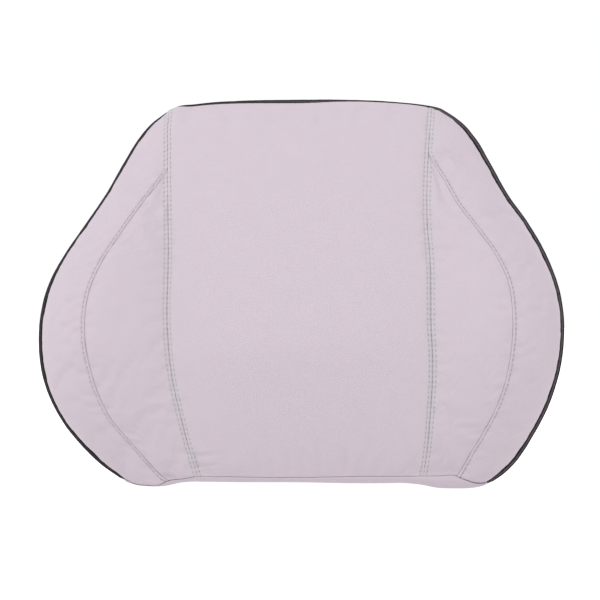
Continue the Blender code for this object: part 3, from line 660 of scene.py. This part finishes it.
def swell(name, points, normal, cap):
    """How far each point of a panel moves out as its cloth swells between its sewn edges."""
    rows = even_lines(run_length(points, 0)[:, points.shape[1] // 2])
    columns = even_lines(run_length(points, 1)[points.shape[0] // 2])
    coarse = points[np.ix_(rows, columns)]
    cloth = grid_object(f"{name}_sim", coarse)
    border = np.ones(coarse.shape[:2], dtype=bool)
    border[1:-1, 1:-1] = False
    cloth.vertex_groups.new(name="sewn").add(np.nonzero(border.ravel())[0].tolist(), 1.0, "ADD")
    moved = (simulated(cloth).reshape(coarse.shape) - coarse) * normal[np.ix_(rows, columns)]
    moved = np.clip(moved.sum(axis=-1), -cap, cap)
    for lines, count in ((rows, points.shape[0]), (columns, points.shape[1])):
        moved = hermite(lines.astype(float), moved, np.arange(count, dtype=float)).T
    return moved


# ---- Stitches ----
def stitches(path, normal, length=3.0 * MM, radius=0.27 * MM, pitch=PITCH):
    """Vertices and cloth coordinates of a row of stitches along a path that lies on the cloth."""
    along = np.linspace(-0.5, 0.5, len(THREAD_FAT))
    angle = circle(7)
    run = path_run(path)
    middle = np.arange(0.5, run[-1] / pitch - 0.5, 1.0) * pitch
    at = middle[:, None] + along[None, :] * length
    centre, out = points_at(at, run, path), points_at(at, run, normal)
    aside = unit(np.cross(out, np.gradient(centre, axis=1)))
    centre = centre + out * (THREAD_DIVE * radius)[None, :, None]
    turn = aside[:, :, None] * np.cos(angle)[:, None] + out[:, :, None] * np.sin(angle)[:, None]
    verts = centre[:, :, None] + THREAD_FAT[None, :, None, None] * radius * turn
    return verts, vectors(at[:, :, None], angle * radius, 0.0)


def stitch_object(name, rows, look):
    """One object of all the given rows of stitches."""
    verts, cloth = (np.concatenate(parts) for parts in zip(*rows))
    count, rings, sides = verts.shape[:3]
    quads = grid_quads(rings, sides, around=True)
    every = (quads[None] + (np.arange(count) * rings * sides)[:, None, None]).reshape(-1, 4)
    piece = mesh_from(name, verts.reshape(-1, 3), every, {"cloth": cloth.reshape(-1, 3)})
    return place(piece, look)


# ---- Front panels ----
def row_places(low, high):
    """Rows from low to high: close at the hem, even above it, and following the top roll."""
    turn = ROW_HIGH - TOP_ROLL
    near = low + NEAR[NEAR < 7 * MM]
    even = np.arange(near[-1] + ROW_STEP, min(high, turn), ROW_STEP)
    if high <= turn:
        return np.concatenate((near, even, [high]))
    roll = turn + TOP_ROLL * np.sin(np.linspace(0, math.pi / 2, 26))
    return np.concatenate((near, even[even < turn - 0.5 * MM], roll))


def arch(x):
    """Height of the base under the object: two flat feet and a low arch between them."""
    return np.maximum(smooth(ARCH_LINE, x), 0)


def lip(distance, radius):
    """How far a sewn edge turns down within its radius."""
    reach = np.clip(radius - distance, 0, radius)
    return -(radius - np.sqrt(np.maximum(radius * radius - reach * reach, 0)))


def seam_pull(distance, along, sewing, seed):
    """Pull of a seam on the cloth beside it, at a distance from it and along it."""
    radius, groove, ridge, row = (sewing[..., i] for i in range(4))
    beat = 0.5 + 0.5 * np.cos(math.tau * along / PITCH)
    pull = lip(distance, radius) - groove * np.exp(-distance / (5.5 * MM))
    pull = pull + ridge * bump((distance - TWIN / 2) / (0.75 * MM))
    pull = pull - row * bump((distance - TWIN) / (0.6 * MM)) * (0.7 + 0.5 * beat**2)
    return pull + 0.25 * MM * np.exp(-distance / (10 * MM)) * ripple(along, seed, 0.028)


def spread(width, rolled):
    """Columns between two seams: distances from the first, close together beside each seam."""
    first = NEAR[None, :] * np.minimum(1, width / (2.6 * NEAR[-1]))[:, None]
    width, start = width[:, None], first[:, -1:]
    if rolled:
        turn = np.linspace(0, math.pi / 2, 44)[None, 1:]
        return np.concatenate((first, start + (width - start) * np.sin(turn)), axis=1)
    last = width - first[:, ::-1]
    count = max(4, int(np.max(width) / (2.6 * MM)))
    share = np.linspace(0, 1, count + 2)[1:-1][None, :]
    return np.concatenate((first, start * (1 - share) + last[:, :1] * share, last), axis=1)


def creases(base):
    """Soft short folds in the middle panel, beside the foot of its left seam."""
    x, z = base[..., 0], base[..., 2]
    pull = np.zeros_like(x)
    for at_x, at_z, long, tall in CREASES:
        bend = (z - at_z - 0.10 * (x - at_x)) / tall
        fold = bump(bend) - 0.5 * bump(bend / 2.2)
        pull -= CREASE_DEPTH * bump((x - at_x) / long) * fold
    return pull


def forward_normals(normal, gaps, sewing):
    """Normals turned straight forward beside a straight seam, so that its panels stay closed."""
    for gap, sewn in zip(gaps, sewing):
        share = ((sewn[:, :1] < STRAIGHT_LIP) * bump(gap / (3 * MM)))[..., None]
        normal = normal * (1 - share) + np.array((0.0, -1.0, 0.0)) * share
    return unit(normal)


def sewn_layer(gaps, runs, sewing):
    """Each point's distance from its nearer seam, the place along it, and the kind of its thread.

    The kind is 2 on a straight seam, 1 on another that has topstitching, and 0 without it.
    """
    rows = [(sewn[:, 3:] > 0) * np.where(sewn[:, :1] < STRAIGHT_LIP, 2.0, 1.0) for sewn in sewing]
    nearer = gaps[0] < gaps[1]
    return vectors(*(np.where(nearer, *pair) for pair in (gaps, runs, rows)))


def panel(name, inner, outer, rows, sewing, side, rolled, seeds):
    """One sewn panel between two seam lines, given as distances from the middle at each row.

    sewing holds the kind of each seam at each row, and seeds the number of each seam's pucker,
    which the panel shares with its neighbour. Returns the panel and its rows of topstitching.
    """
    offsets, width = spread(outer - inner, rolled), (outer - inner)[:, None]
    x, gaps = side * (inner[:, None] + offsets), [offsets, width - offsets]
    if side < 0:
        x, *gaps = (values[:, ::-1] for values in (x, *gaps))
        gaps, sewing, seeds = gaps[::-1], sewing[::-1], seeds[::-1]
    base = front(x, np.repeat(rows[:, None], x.shape[1], axis=1))
    normal = forward_normals(grid_normals(base), gaps, sewing)
    up, across = run_length(base, 0), run_length(base, 1)
    runs = up[:, :1] + 0 * up, up[:, -1:] + 0 * up
    pull = swell(name, base, normal, SWELL_CAP)
    if rolled:
        pull = pull * step((across[:, -1:] - across if side > 0 else across) / ROLL_FADE)
    for gap, run, sewn, seed in zip(gaps, runs, sewing, seeds):
        pull = pull + seam_pull(gap, run, sewn[:, None], seed)
    pull = pull + seam_pull((rows - ROW_LOW)[:, None], across, SEWING["hem"], seeds[0] + 3)
    if name == "front_centre":
        pull = pull + creases(base)
    points = base + normal * pull[..., None]
    cloth = vectors(across - across[:, across.shape[1] // 2, None], up, 0.0)
    layers = {"cloth": grown(cloth), "sewn": grown(sewn_layer(gaps, runs, sewing))}
    paths = topstitching(points, normal, width[:, 0], sewing)
    return grid_object(name, tucked(points, normal), **layers), paths


def topstitching(points, normal, width, sewing):
    """The rows of topstitching beside a panel's two seams, where there is room for them."""
    rows = []
    for i, column in ((0, TWIN_COLUMN), (1, -1 - TWIN_COLUMN)):
        wide = (width > 2.6 * NEAR[-1]) & (sewing[i][:, 3] > 0)
        if wide.any():
            rows.append(stitches(points[wide, column], normal[wide, column]))
    return rows


def grown(values):
    """Values of a grid with its border lines repeated outwards."""
    return np.pad(values, ((1, 1), (1, 1), (0, 0)), mode="edge")


def tucked(points, normal, deep=2.2 * MM):
    """A panel's points with its edges turned in as seam allowances."""
    under = grown(points) - grown(normal) * deep
    under[1:-1, 1:-1] = points
    return under


def kinds(rows, kind, upper=None, change=0.0):
    """The sewing at each row: one kind, or another above the row where it changes."""
    above = step((rows - change) / (4 * MM) + 1)[:, None]
    return SEWING[kind] * (1 - above) + SEWING[upper or kind] * above


def front_panels():
    """The five sewn panels of the front, and the topstitching on their seams."""
    threads = []

    def sew(name, node, *make):
        piece, paths = panel(name, *make)
        threads.extend(paths)
        place(piece, "front", [node])

    rows = row_places(ROW_LOW, ROW_HIGH)
    straight = kinds(rows, "straight")
    left, right = -smooth(STRAIGHT[-1], rows), smooth(STRAIGHT[1], rows)
    sew("front_centre", "centre_panel", left, right, rows, [straight, straight], 1, False, (39, 41))
    for side, word in ((-1, "left"), (1, "right")):
        where = np.full_like(rows, side)
        lines = crest(where, rows)[0], cover_edge(where, rows), rows
        sewing = [kinds(rows, "welt", "straight", TIP[side]), kinds(rows, "edge")]
        seeds = (50 + side, 60 + side)
        sew(f"front_bolster_{word}", f"bolster_{word}", *lines, sewing, side, True, seeds)
        low = row_places(ROW_LOW, TIP[side] - 0.6 * MM)
        lines = smooth(STRAIGHT[side], low), smooth(CURVED[side], low), low
        sewing = [kinds(low, "straight"), kinds(low, "plain")]
        seeds = (40 + side, 50 + side)
        sew(f"front_inner_wing_{word}", f"inner_wing_{word}", *lines, sewing, side, False, seeds)
    stitch_object("front_topstitching", threads, "thread")


# ---- Bottom panel ----
def between(ends, count):
    """Places from one end to the other, closer together at both."""
    turn = np.linspace(math.pi, 0, count)
    return (ends[0] + ends[1]) / 2 + (ends[1] - ends[0]) / 2 * np.cos(turn)


def base_plan():
    """Plan of the hem, from the left of the back round the front: x and depth, inward, and run."""
    ends = [side * float(cover_edge(side, ROW_LOW)) for side in (-1, 1)]
    x = between(ends, 1200)
    depth = BACK_Y - front(x, np.full_like(x, ROW_LOW))[:, 1]
    side = np.linspace(COVER, depth[0], 60)[:-1]
    x = np.concatenate((np.full_like(side, ends[0]), x, np.full_like(side, ends[1])))
    path = np.stack((x, np.concatenate((side, depth, side[::-1]))), axis=1)
    run = path_run(path)
    at = np.linspace(0, run[-1], 320)
    path = points_at(at, run, path)
    along = unit(np.gradient(path, axis=0))
    return path, np.stack((along[:, 1], -along[:, 0]), axis=1), at


def rim_line(path, inward, hem, turn):
    """A line of the rim that rounds under from the hem. Above the hem it is tucked in."""
    inset = BASE_INSET * (1 - math.cos(max(turn, 0))) + 0.7 * MM * math.exp(-max(turn, 0) / 0.12)
    plan = path + inward * (inset + (2.0 * MM if turn < 0 else 0))
    plan[:, 1] = np.maximum(plan[:, 1], COVER)
    low = np.clip(arch(plan[:, 0]), 0, np.maximum(hem - 1.5 * MM, 0))
    return vectors(plan[:, 0], BACK_Y - plan[:, 1], hem - (hem - low) * math.sin(turn))


def bottom_panel():
    """Rim that rounds under from the hem, and the base with its arch between two flat feet."""
    path, inward, at = base_plan()
    hem = smooth(HEM_LINE, path[:, 0]) - 0.05 * MM
    turns = np.concatenate(([-0.03, 0.0, 0.03, 0.07], np.linspace(0.12, 1, 12))) * math.pi / 2
    lines = [rim_line(path, inward, hem, turn) for turn in turns]
    places = [vectors(at, turn * 0.012, 0.0) for turn in turns]
    x, y, _ = lines[-1].T
    back_x = x[0] + (x[-1] - x[0]) * np.linspace(0, 1, len(x))
    for share in np.linspace(0.08, 1, 12):
        base_x = x * (1 - share) + back_x * share
        base_y = y * (1 - share) + (BACK_Y - COVER) * share
        lines.append(vectors(base_x, base_y, arch(base_x)))
        places.append(vectors(base_x, base_y, 0.0))
    points, cloth = np.array(lines)[::-1], np.array(places)[::-1]
    unsewn = vectors(np.full(points.shape[:2], 1.0), 0.0, 0.0)
    piece = grid_object("bottom_cloth", points, cloth=cloth, sewn=unsewn)
    place(piece, "front", ["bottom_panel"])


# ---- Edge: piping and gusset ----
def edge_path(side):
    """One side's edge line from the hem up to the middle of the top: points, outward and rows."""
    rows = np.arange(ROW_LOW, ROW_HIGH, 1.4 * MM)
    top_x = np.linspace(CORNER_X[side], 0, 90)
    x = np.concatenate((smooth(OUTLINE[side], rows), top_x))
    row = np.concatenate((rows, np.full_like(top_x, ROW_HIGH)))
    plan = np.stack((x, height(side * x, row)), axis=1)
    along = np.gradient(plan, axis=0)
    along[-1] = (-1.0, 0.0)
    along = unit(along)
    outward = np.stack((along[:, 1], -along[:, 0]), axis=1)
    return plan * (side, 1), outward * (side, 1), row


def whole_edge():
    """The edge line from the right foot over the top to the left foot: points, outward and rows."""
    return [np.concatenate((a, b[-2::-1])) for a, b in zip(edge_path(1), edge_path(-1))]


def tube(name, centres, out, radius, run):
    """A cord on a path with an outward direction in the XZ plane, its inner half drawn out."""
    angle = circle(18)
    reach = radius[:, None] * np.cos(angle) * np.where(np.cos(angle) < 0, FLANGE, 1.0)
    ring = vectors(reach * out[:, :1], radius[:, None] * np.sin(angle), reach * out[:, 1:])
    cloth = vectors(run[:, None], angle * PIPING_R, 0.0)
    return grid_object(name, centres[:, None, :] + ring, around=True, cloth=cloth)


def edge_piping():
    """The dark cord round the sides and the top. The cover hides it at the left corner."""
    plan, outward, row = (np.pad(values, ((1, 1), (0, 0))[: values.ndim], mode="edge")
                          for values in whole_edge())
    plan[0] += unit(plan[1] - plan[2]) * PIPING_TAIL
    plan[-1] += unit(plan[-2] - plan[-3]) * PIPING_TAIL
    run = path_run(plan)
    depth = smooth(EDGE_DEPTH, row) - GAP - PIPING_R
    hidden = bump((plan[:, 0] - HIDDEN_X) / 0.009) * step((row - 0.28) / 0.02)
    centre = plan - outward * (0.3 * MM + 2.4 * MM * hidden)[:, None]
    taper = 0.35 + 0.65 * step(np.minimum(run, run[-1] - run) / 0.007)
    radius = PIPING_R * (1 + 0.035 * ripple(run, 5, 0.05)) * taper
    points = vectors(centre[:, 0], BACK_Y - depth, np.maximum(centre[:, 1], radius))
    cord = tube("edge_piping_cord", points, outward, radius, run)
    place(cord, "piping", ["edge_piping"])


def gusset():
    """The side wall between the piping and the back, drawn in along both of its seams."""
    plan, outward, row = whole_edge()
    run = path_run(plan)
    ends = np.array((0, 0.01, 0.03, 0.06))
    share = np.concatenate((ends, np.linspace(0.1, 0.9, 13), 1 - ends[::-1]))
    depth = (smooth(EDGE_DEPTH, row) - 1.1 * PIPING_R)[:, None] * (1 - share)
    out = 1.6 * MM * np.sin(math.pi * share) ** 0.6 - 1.4 * MM
    out = out + 0.25 * MM * ripple(run, 77, 0.04)[:, None] * np.abs(share - 0.5) * 2
    x, z = (plan[:, i, None] + outward[:, i, None] * out for i in (0, 1))
    points, cloth = vectors(x, BACK_Y - depth, z), vectors(run[:, None], depth, 0.0)
    third = len(plan) // 3
    spans = {"right": (0, third), "top": (third, 2 * third), "left": (2 * third, len(plan) - 1)}
    for word, (start, end) in spans.items():
        part = slice(start, end + 1)
        piece = grid_object(f"gusset_cloth_{word}", points[part, ::-1], cloth=cloth[part, ::-1])
        place(piece, "gusset", [f"gusset_{word}"])


# ---- Foam and liner ----
def shell_line(row, inset, back_y):
    """A line round the shell: across the front, down the right, back along and up the left."""
    x = between((-cover_edge(-1, row) + inset, cover_edge(1, row) - inset), SHELL_FRONT)
    line = front(x, np.full_like(x, row))
    line[:, 1] += inset * 1.3
    side = np.linspace(line[-1, 1], back_y, SHELL_SIDE + 1)[1:]
    back = line[::-1].copy()
    back[:, 1] = back_y
    right, left = vectors(x[-1], side, line[-1, 2]), vectors(x[0], side[::-1], line[0, 2])
    return np.concatenate((line, right, back[1:-1], left))


def inner_shell(inset, far):
    """A closed grid just inside the cover: the inset front, the side walls and a flat back."""
    upper = np.linspace(UPPER_ROW, ROW_HIGH - 1 * MM, 40)[1:]
    rows = np.concatenate((np.linspace(ROW_LOW, UPPER_ROW, 70), upper))
    points = np.array([shell_line(row, inset, BACK_Y - far) for row in rows])
    share = np.clip((points[..., 2] - ROW_LOW) / ROW_HIGH, 0, 1)
    points[..., 2] += inset * (1 - 2 * share)
    caps = [end.mean(axis=0) + 0 * end for end in (points[0], points[-1])]
    rim = [caps[i] + (points[-i] - caps[i]) * 0.97 for i in (0, 1)]
    return np.concatenate(([caps[0], rim[0]], points, [rim[1], caps[1]]))


def foam_and_liner():
    """The moulded foam block in its thin knitted liner, sewn from a front and a flat back."""
    foam = grid_object("foam_block", inner_shell(FOAM_INSET, FOAM_INSET), around=True)
    place(foam, "foam", ["foam_core"])
    shell = inner_shell(LINER_INSET, LINER_BACK)
    on_back = SHELL_FRONT + SHELL_SIDE
    liner = grid_object("liner_bag", shell[:, :on_back])
    place(liner, "knit", ["liner_front"])
    flat = np.concatenate((shell[2:-2, on_back - 1 :], shell[2:-2, :1]), axis=1)
    place(grid_object("liner_sheet", flat), "knit", ["liner_back"])


# ---- Back ----
def zip_edge(x):
    """Distance from the zip's middle to the edge of each back panel: closed past the zip's ends."""
    return 0.1 * MM + ZIP_OPENING * (1 - step((np.abs(x) - ZIP_HALF + 2 * MM) / (7 * MM)))


def back_outline(x_sign, z):
    """Half width of the back at a height, drawn in below the hem as the base rounds under."""
    hem = float(smooth(HEM_LINE, x_sign * 0.155)) + 2 * MM
    under = np.clip((hem - z) / hem, 0, 1)
    half = smooth(OUTLINE[x_sign], np.maximum(z, ROW_LOW))
    return half - BASE_INSET * (1 - np.sqrt(1 - under * under))


def from_both_ends(near, inside, far_end):
    """Places close together at 0 and at the far end, with others inside."""
    return np.concatenate((near + 0 * far_end, inside, far_end - near[::-1]), axis=-1)


def back_panel(node, rows, heights, seed):
    """A back panel with rounded edges. heights turns x and a row into a height."""
    left, right = back_outline(-1, rows), back_outline(1, rows)
    width = (left + right)[:, None]
    share = np.linspace(0, 1, 90)[None, 1:-1]
    inside = COLUMNS_NEAR[-1] * (1 - share) + (width - COLUMNS_NEAR[-1]) * share
    offsets = from_both_ends(COLUMNS_NEAR, inside, width)
    x = offsets - left[:, None]
    z = heights(x, rows[:, None])
    slope = np.gradient(right, rows)[:, None]
    gap = np.minimum(offsets, width - offsets) / np.sqrt(1 + slope * slope)
    gap = np.minimum(gap, np.minimum(np.abs(z - z[-1]), np.abs(z - z[0])))
    sag = 0.22 * MM * (1 + ripple(x + 0.3 * z, seed, 0.11, 3) * ripple(z, seed + 1, 0.09, 3))
    row_dip = 0.35 * MM * bump((gap - STITCH_INSET) / (0.8 * MM))
    y = BACK_Y + lip(gap, 1.9 * MM) - sag * step(gap / 0.01) - row_dip
    points = vectors(x, y, z)[:, ::-1]
    points = tucked(points, np.broadcast_to((0.0, 1.0, 0.0), points.shape), 1.4 * MM)
    piece = grid_object(f"{node}_cloth", points, cloth=grown(vectors(x, z, 0.0)[:, ::-1]))
    place(piece, "back", [node])


def close_rows(low, high):
    """Heights from low to high, close together at both ends."""
    inside = np.linspace(ROWS_NEAR[-1], high - low - ROWS_NEAR[-1], int((high - low) / (2.2 * MM)))
    return low + from_both_ends(ROWS_NEAR, inside[1:-1], high - low)


def back_panels():
    """The two mesh panels, one on each side of the zip."""
    def lower(x, z):
        floor = arch(x)
        return floor + (ZIP_Z - zip_edge(x) - floor) * (z / (ZIP_Z - GAP))

    def upper(x, z):
        lift = (zip_edge(x) - GAP) * (1 - step((z - ZIP_Z - GAP) / 0.05))
        return crowned(x, z) + lift

    back_panel("back_panel_lower", close_rows(0.0, ZIP_Z - GAP), lower, 51)
    back_panel("back_panel_upper", close_rows(ZIP_Z + GAP, ROW_HIGH), upper, 61)


def row_on_back(x, z, rise, *sizes):
    """A row of stitches on the back, at a rise from its plane."""
    path = vectors(x, BACK_Y + rise, z)
    return stitches(path, np.broadcast_to((0.0, 1.0, 0.0), path.shape), *sizes)


def back_stitching():
    """Dark topstitching inside the back's edge and along both sides of the zip."""
    sizes = -0.30 * MM, 2.6 * MM, 0.26 * MM
    plan, outward, _ = whole_edge()
    inner = plan - outward * STITCH_INSET
    above, right = plan[:, 1] > ZIP_Z, plan[:, 0] > 0
    clear = np.abs(plan[:, 1] - ZIP_Z) > 2 * MM
    parts = clear & above, clear & ~above & right, clear & ~above & ~right
    rows = [row_on_back(inner[part, 0], inner[part, 1], *sizes) for part in parts]
    x = np.linspace(-ZIP_HALF + 4 * MM, ZIP_HALF - 4 * MM, 200)
    for sign in (-1, 1):
        rows.append(row_on_back(x, ZIP_Z + sign * (zip_edge(x) + STITCH_INSET), *sizes))
    stitch_object("back_topstitching", rows, "dark_thread")


# ---- Zip ----
def closed_strip(x, z, y, under_y):
    """A strip of cloth as a closed tube of points: its top at y and its underside at under_y."""
    top = vectors(x[:, None], y, z[None, :])
    under = top[:, ::-1].copy()
    under[..., 1] = under_y
    return np.concatenate((top, under), axis=1)


def zip_tapes():
    """Woven tapes that run from under the back panels to the coil, with a beaded inner edge."""
    for sign, word in ((1, "upper"), (-1, "lower")):
        low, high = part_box(f"zip_tape_{word}")
        inner, outer = (low.z, high.z) if sign > 0 else (high.z, low.z)
        share = np.concatenate(([0, 0.02, 0.05, 0.09, 0.14], np.linspace(0.2, 1, 14)))
        z = inner + (outer + sign * 2.5 * MM - inner) * share
        x = np.linspace(low.x - 9 * MM, high.x + 9 * MM, 240)
        bead = 0.35 * MM * bump((share - 0.07) / 0.05)
        y = high.y + bead[None, :] + 0.08 * MM * ripple(x, 90 + sign, 0.03)[:, None] - 0.2 * MM
        points = closed_strip(x, z, y, low.y)[:, ::sign]
        name, cloth = f"zip_tape_cloth_{word}", points[..., [0, 2, 1]]
        piece = grid_object(name, points, around=True, cloth=cloth)
        place(piece, "tape", [f"zip_tape_{word}"])


def zip_guard():
    """A strip behind the coils that keeps the liner away from the slider."""
    x = np.linspace(-ZIP_HALF - 6 * MM, ZIP_HALF + 6 * MM, 160)
    z = ZIP_Z + np.linspace(-8.5 * MM, 8.5 * MM, 15)
    y = GUARD_Y + 0.1 * MM * ripple(x, 97, 0.03)[:, None]
    points = closed_strip(x, z, y, y - 0.3 * MM)
    piece = grid_object("zip_guard_cloth", points, around=True, cloth=points[..., [0, 2, 1]])
    place(piece, "tape")


def zip_coils():
    """Two continuous coils whose turns lie between each other's."""
    pitch, angle = 1.2 * MM, circle(6)[:, None]
    for sign, word in ((1, "upper"), (-1, "lower")):
        low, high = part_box(f"zip_coil_{word}")
        turns = int((high.x - low.x) / pitch)
        turn = np.linspace(0, turns * math.tau, turns * 10)
        x = low.x + (high.x - low.x) * turn / turn[-1] + sign * pitch / 4
        y = (low.y + high.y) / 2 + ((high.y - low.y) / 2 - 0.2 * MM) * np.sin(turn)
        z = (low.z + high.z) / 2 + ((high.z - low.z) / 2 - 0.1 * MM) * np.cos(turn)
        path = vectors(x, y, z - sign * 0.35 * MM)
        along = unit(np.gradient(path, axis=0))
        aside = unit(np.cross(along, (1.0, 0.0, 0.0)))
        ring = aside[:, None] * np.cos(angle) + np.cross(along, aside)[:, None] * np.sin(angle)
        piece = grid_object(f"zip_coil_turns_{word}", path[:, None] + 0.28 * MM * ring, around=True)
        place(piece, "coil", [f"zip_coil_{word}"])


# ---- Strap ----
def strap_line(side, bar_x, free_x):
    """From the side seam to a bar, round it, and back over itself to a free end: x and rise."""
    middle, radius = (LOWER_PLY + UPPER_PLY) / 2, (UPPER_PLY - LOWER_PLY) / 2
    angle = np.linspace(0, math.pi, 24)
    bend = bar_x - side * radius * np.sin(angle), middle - radius * np.cos(angle)
    path = np.array(((side * STRAP_END_X, LOWER_PLY), *zip(*bend), (free_x, UPPER_PLY)))
    run = path_run(path)
    at = np.unique(np.concatenate((np.arange(0, run[-1], 1.2 * MM), run)))
    return points_at(at, run, path), at


def webbing_section():
    """Places across the webbing and its half thickness there, ribbed and with rounded edges."""
    edge = (STRAP_HIGH - STRAP_LOW) / 2 - PLY / 2 * (1 - np.cos(np.linspace(0, math.pi / 2, 5)))
    across = np.concatenate((edge, np.linspace(edge[-1], -edge[-1], 64)[1:-1], -edge[::-1]))
    thick = PLY / 2 * np.sin(np.arccos(np.clip((np.abs(across) - edge[-1]) / (PLY / 2), 0, 1)))
    groove = 0.5 + 0.5 * np.cos(math.tau * across / RIB)
    thick = thick - 0.10 * MM * groove * (thick > 0.5 * MM)
    return [np.concatenate((a, b[::-1][1:-1])) for a, b in ((across, across), (thick, -thick))]


def strap(node, side):
    """Ribbed webbing with rounded edges and heat-sealed ends."""
    path, run = strap_line(side, BAR_X[side], FREE_END_X[side])
    along = unit(np.gradient(path, axis=0))
    across, thick = webbing_section()
    seal = np.minimum(1, 0.55 + np.minimum(run, run[-1] - run) / (1.2 * MM))
    seal[[0, -1]] = 0.02
    off = thick[None, :] * seal[:, None]
    x, rise = path[:, :1] - along[:, 1:] * off, path[:, 1:] + along[:, :1] * off
    points = vectors(x, BACK_Y + rise, STRAP_Z + across)[:, ::-side]
    cloth = vectors(run[:, None], across, 0.0)[:, ::-side]
    piece = grid_object(f"{node}_webbing", points, around=True, cloth=cloth)
    if side < 0:
        return place(piece, "webbing", [node])
    place(piece, "webbing", [node], body=None)
    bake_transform(piece)
    return piece


def box_stitch(x0, x1, rise):
    """A sewn square with its two diagonals, on the strap between two places along it."""
    low, high = STRAP_LOW + 3 * MM, STRAP_HIGH - 3 * MM
    x = x0, x1, x1, x0, x0, x1, x1, x0
    z = low, low, high, high, low, high, low, high
    share = np.linspace(0, 1, 30)
    sides = ([a * (1 - share) + b * share for a, b in zip(ends, ends[1:])] for ends in (x, z))
    return [row_on_back(*line, rise, 2.0 * MM, 0.25 * MM, 2.8 * MM) for line in zip(*sides)]


def straps():
    """The strap's two halves, each sewn to the side seam and looped round its bar."""
    strap("strap_left", -1)
    strap("strap_right", 1)
    rows = [row for side in (-1, 1)
            for row in box_stitch(*(side * x for x in SEWN_END_X), LOWER_PLY + PLY / 2)]
    rows += box_stitch(*FREE_BOX_X, UPPER_PLY + PLY / 2)
    stitch_object("strap_stitching", rows, "dark_thread")


# ---- CAD nodes that stay ----
def carried_over():
    """Materials for the CAD nodes whose shapes are right as they are."""
    kept = {
        "metal": ("zip_stop_left", "zip_stop_right", "zip_slider", "zip_pull"),
        "plastic": ("buckle_socket", "buckle_plug", "strap_adjuster"),
    }
    for look, nodes in kept.items():
        for node in nodes:
            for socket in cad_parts[node].material_slots:
                socket.material = LOOKS[look]


# ---- Camera, light and floor ----
def aim(made, eye, target):
    """Put an object at a place and turn it to look at another."""
    made.location = eye
    made.rotation_mode = "QUATERNION"
    made.rotation_quaternion = (Vector(target) - Vector(eye)).to_track_quat("-Z", "Y")


def camera():
    """A camera at the photograph's viewing angle."""
    data = bpy.data.cameras.new("camera")
    data.lens = 100
    data.sensor_width = 36
    data.clip_start, data.clip_end = 0.05, 50
    bpy.context.scene.camera = link("camera", data)
    aim(bpy.context.scene.camera, (0.111, -1.425, 0.1588), (0.001, 0.0, 0.1585))


def studio():
    """A white room with soft lamps above, at both sides and behind."""
    scene = bpy.context.scene
    scene.view_settings.view_transform = "Standard"
    scene.world = bpy.data.worlds.new("studio")
    scene.world.use_nodes = True
    background = scene.world.node_tree.nodes["Background"]
    background.inputs["Color"].default_value = (1, 1, 1, 1)
    background.inputs["Strength"].default_value = 1.02
    for name, where, size, power in (
        ("key", (-0.45, -1.6, 2.2), 1.4, 30), ("left", (-2.2, -0.8, 0.8), 1.4, 9),
        ("right", (2.2, -0.8, 0.8), 1.4, 6), ("back", (0.6, 2.0, 1.6), 1.5, 16),
    ):
        lamp = bpy.data.lights.new(name, "AREA")
        lamp.size = size
        lamp.energy = power
        aim(link(name, lamp), where, (0, 0, 0.16))


def pale_floor():
    """A pale floor that glows a little, so that it stays white under the shadow's soft edge."""
    reach = 8.0
    corners = [(-reach, -reach, 0), (reach, -reach, 0), (reach, reach, 0), (-reach, reach, 0)]
    floor = mesh_from("floor", np.array(corners), np.array([[0, 1, 2, 3]]))
    floor.location.z = -0.4 * MM
    paper = Nodes("pale_floor")
    tone = paper.noise(paper.object_place(), 3.0)
    light, shade = (0.42, 0.42, 0.42, 1), (0.39, 0.39, 0.39, 1)
    inputs = paper.shader.inputs
    paper.feed(inputs["Base Color"], paper.mix(tone, shade, light))
    inputs["Roughness"].default_value = 0.9
    inputs["Emission Color"].default_value = (1, 1, 1, 1)
    inputs["Emission Strength"].default_value = 0.86
    floor.data.materials.append(paper.material)


camera()
studio()
pale_floor()
LOOKS = looks()
for make in (front_panels, bottom_panel, edge_piping, gusset, back_panels, back_stitching,
             zip_tapes, zip_guard, zip_coils, straps, foam_and_liner, carried_over):
    make()
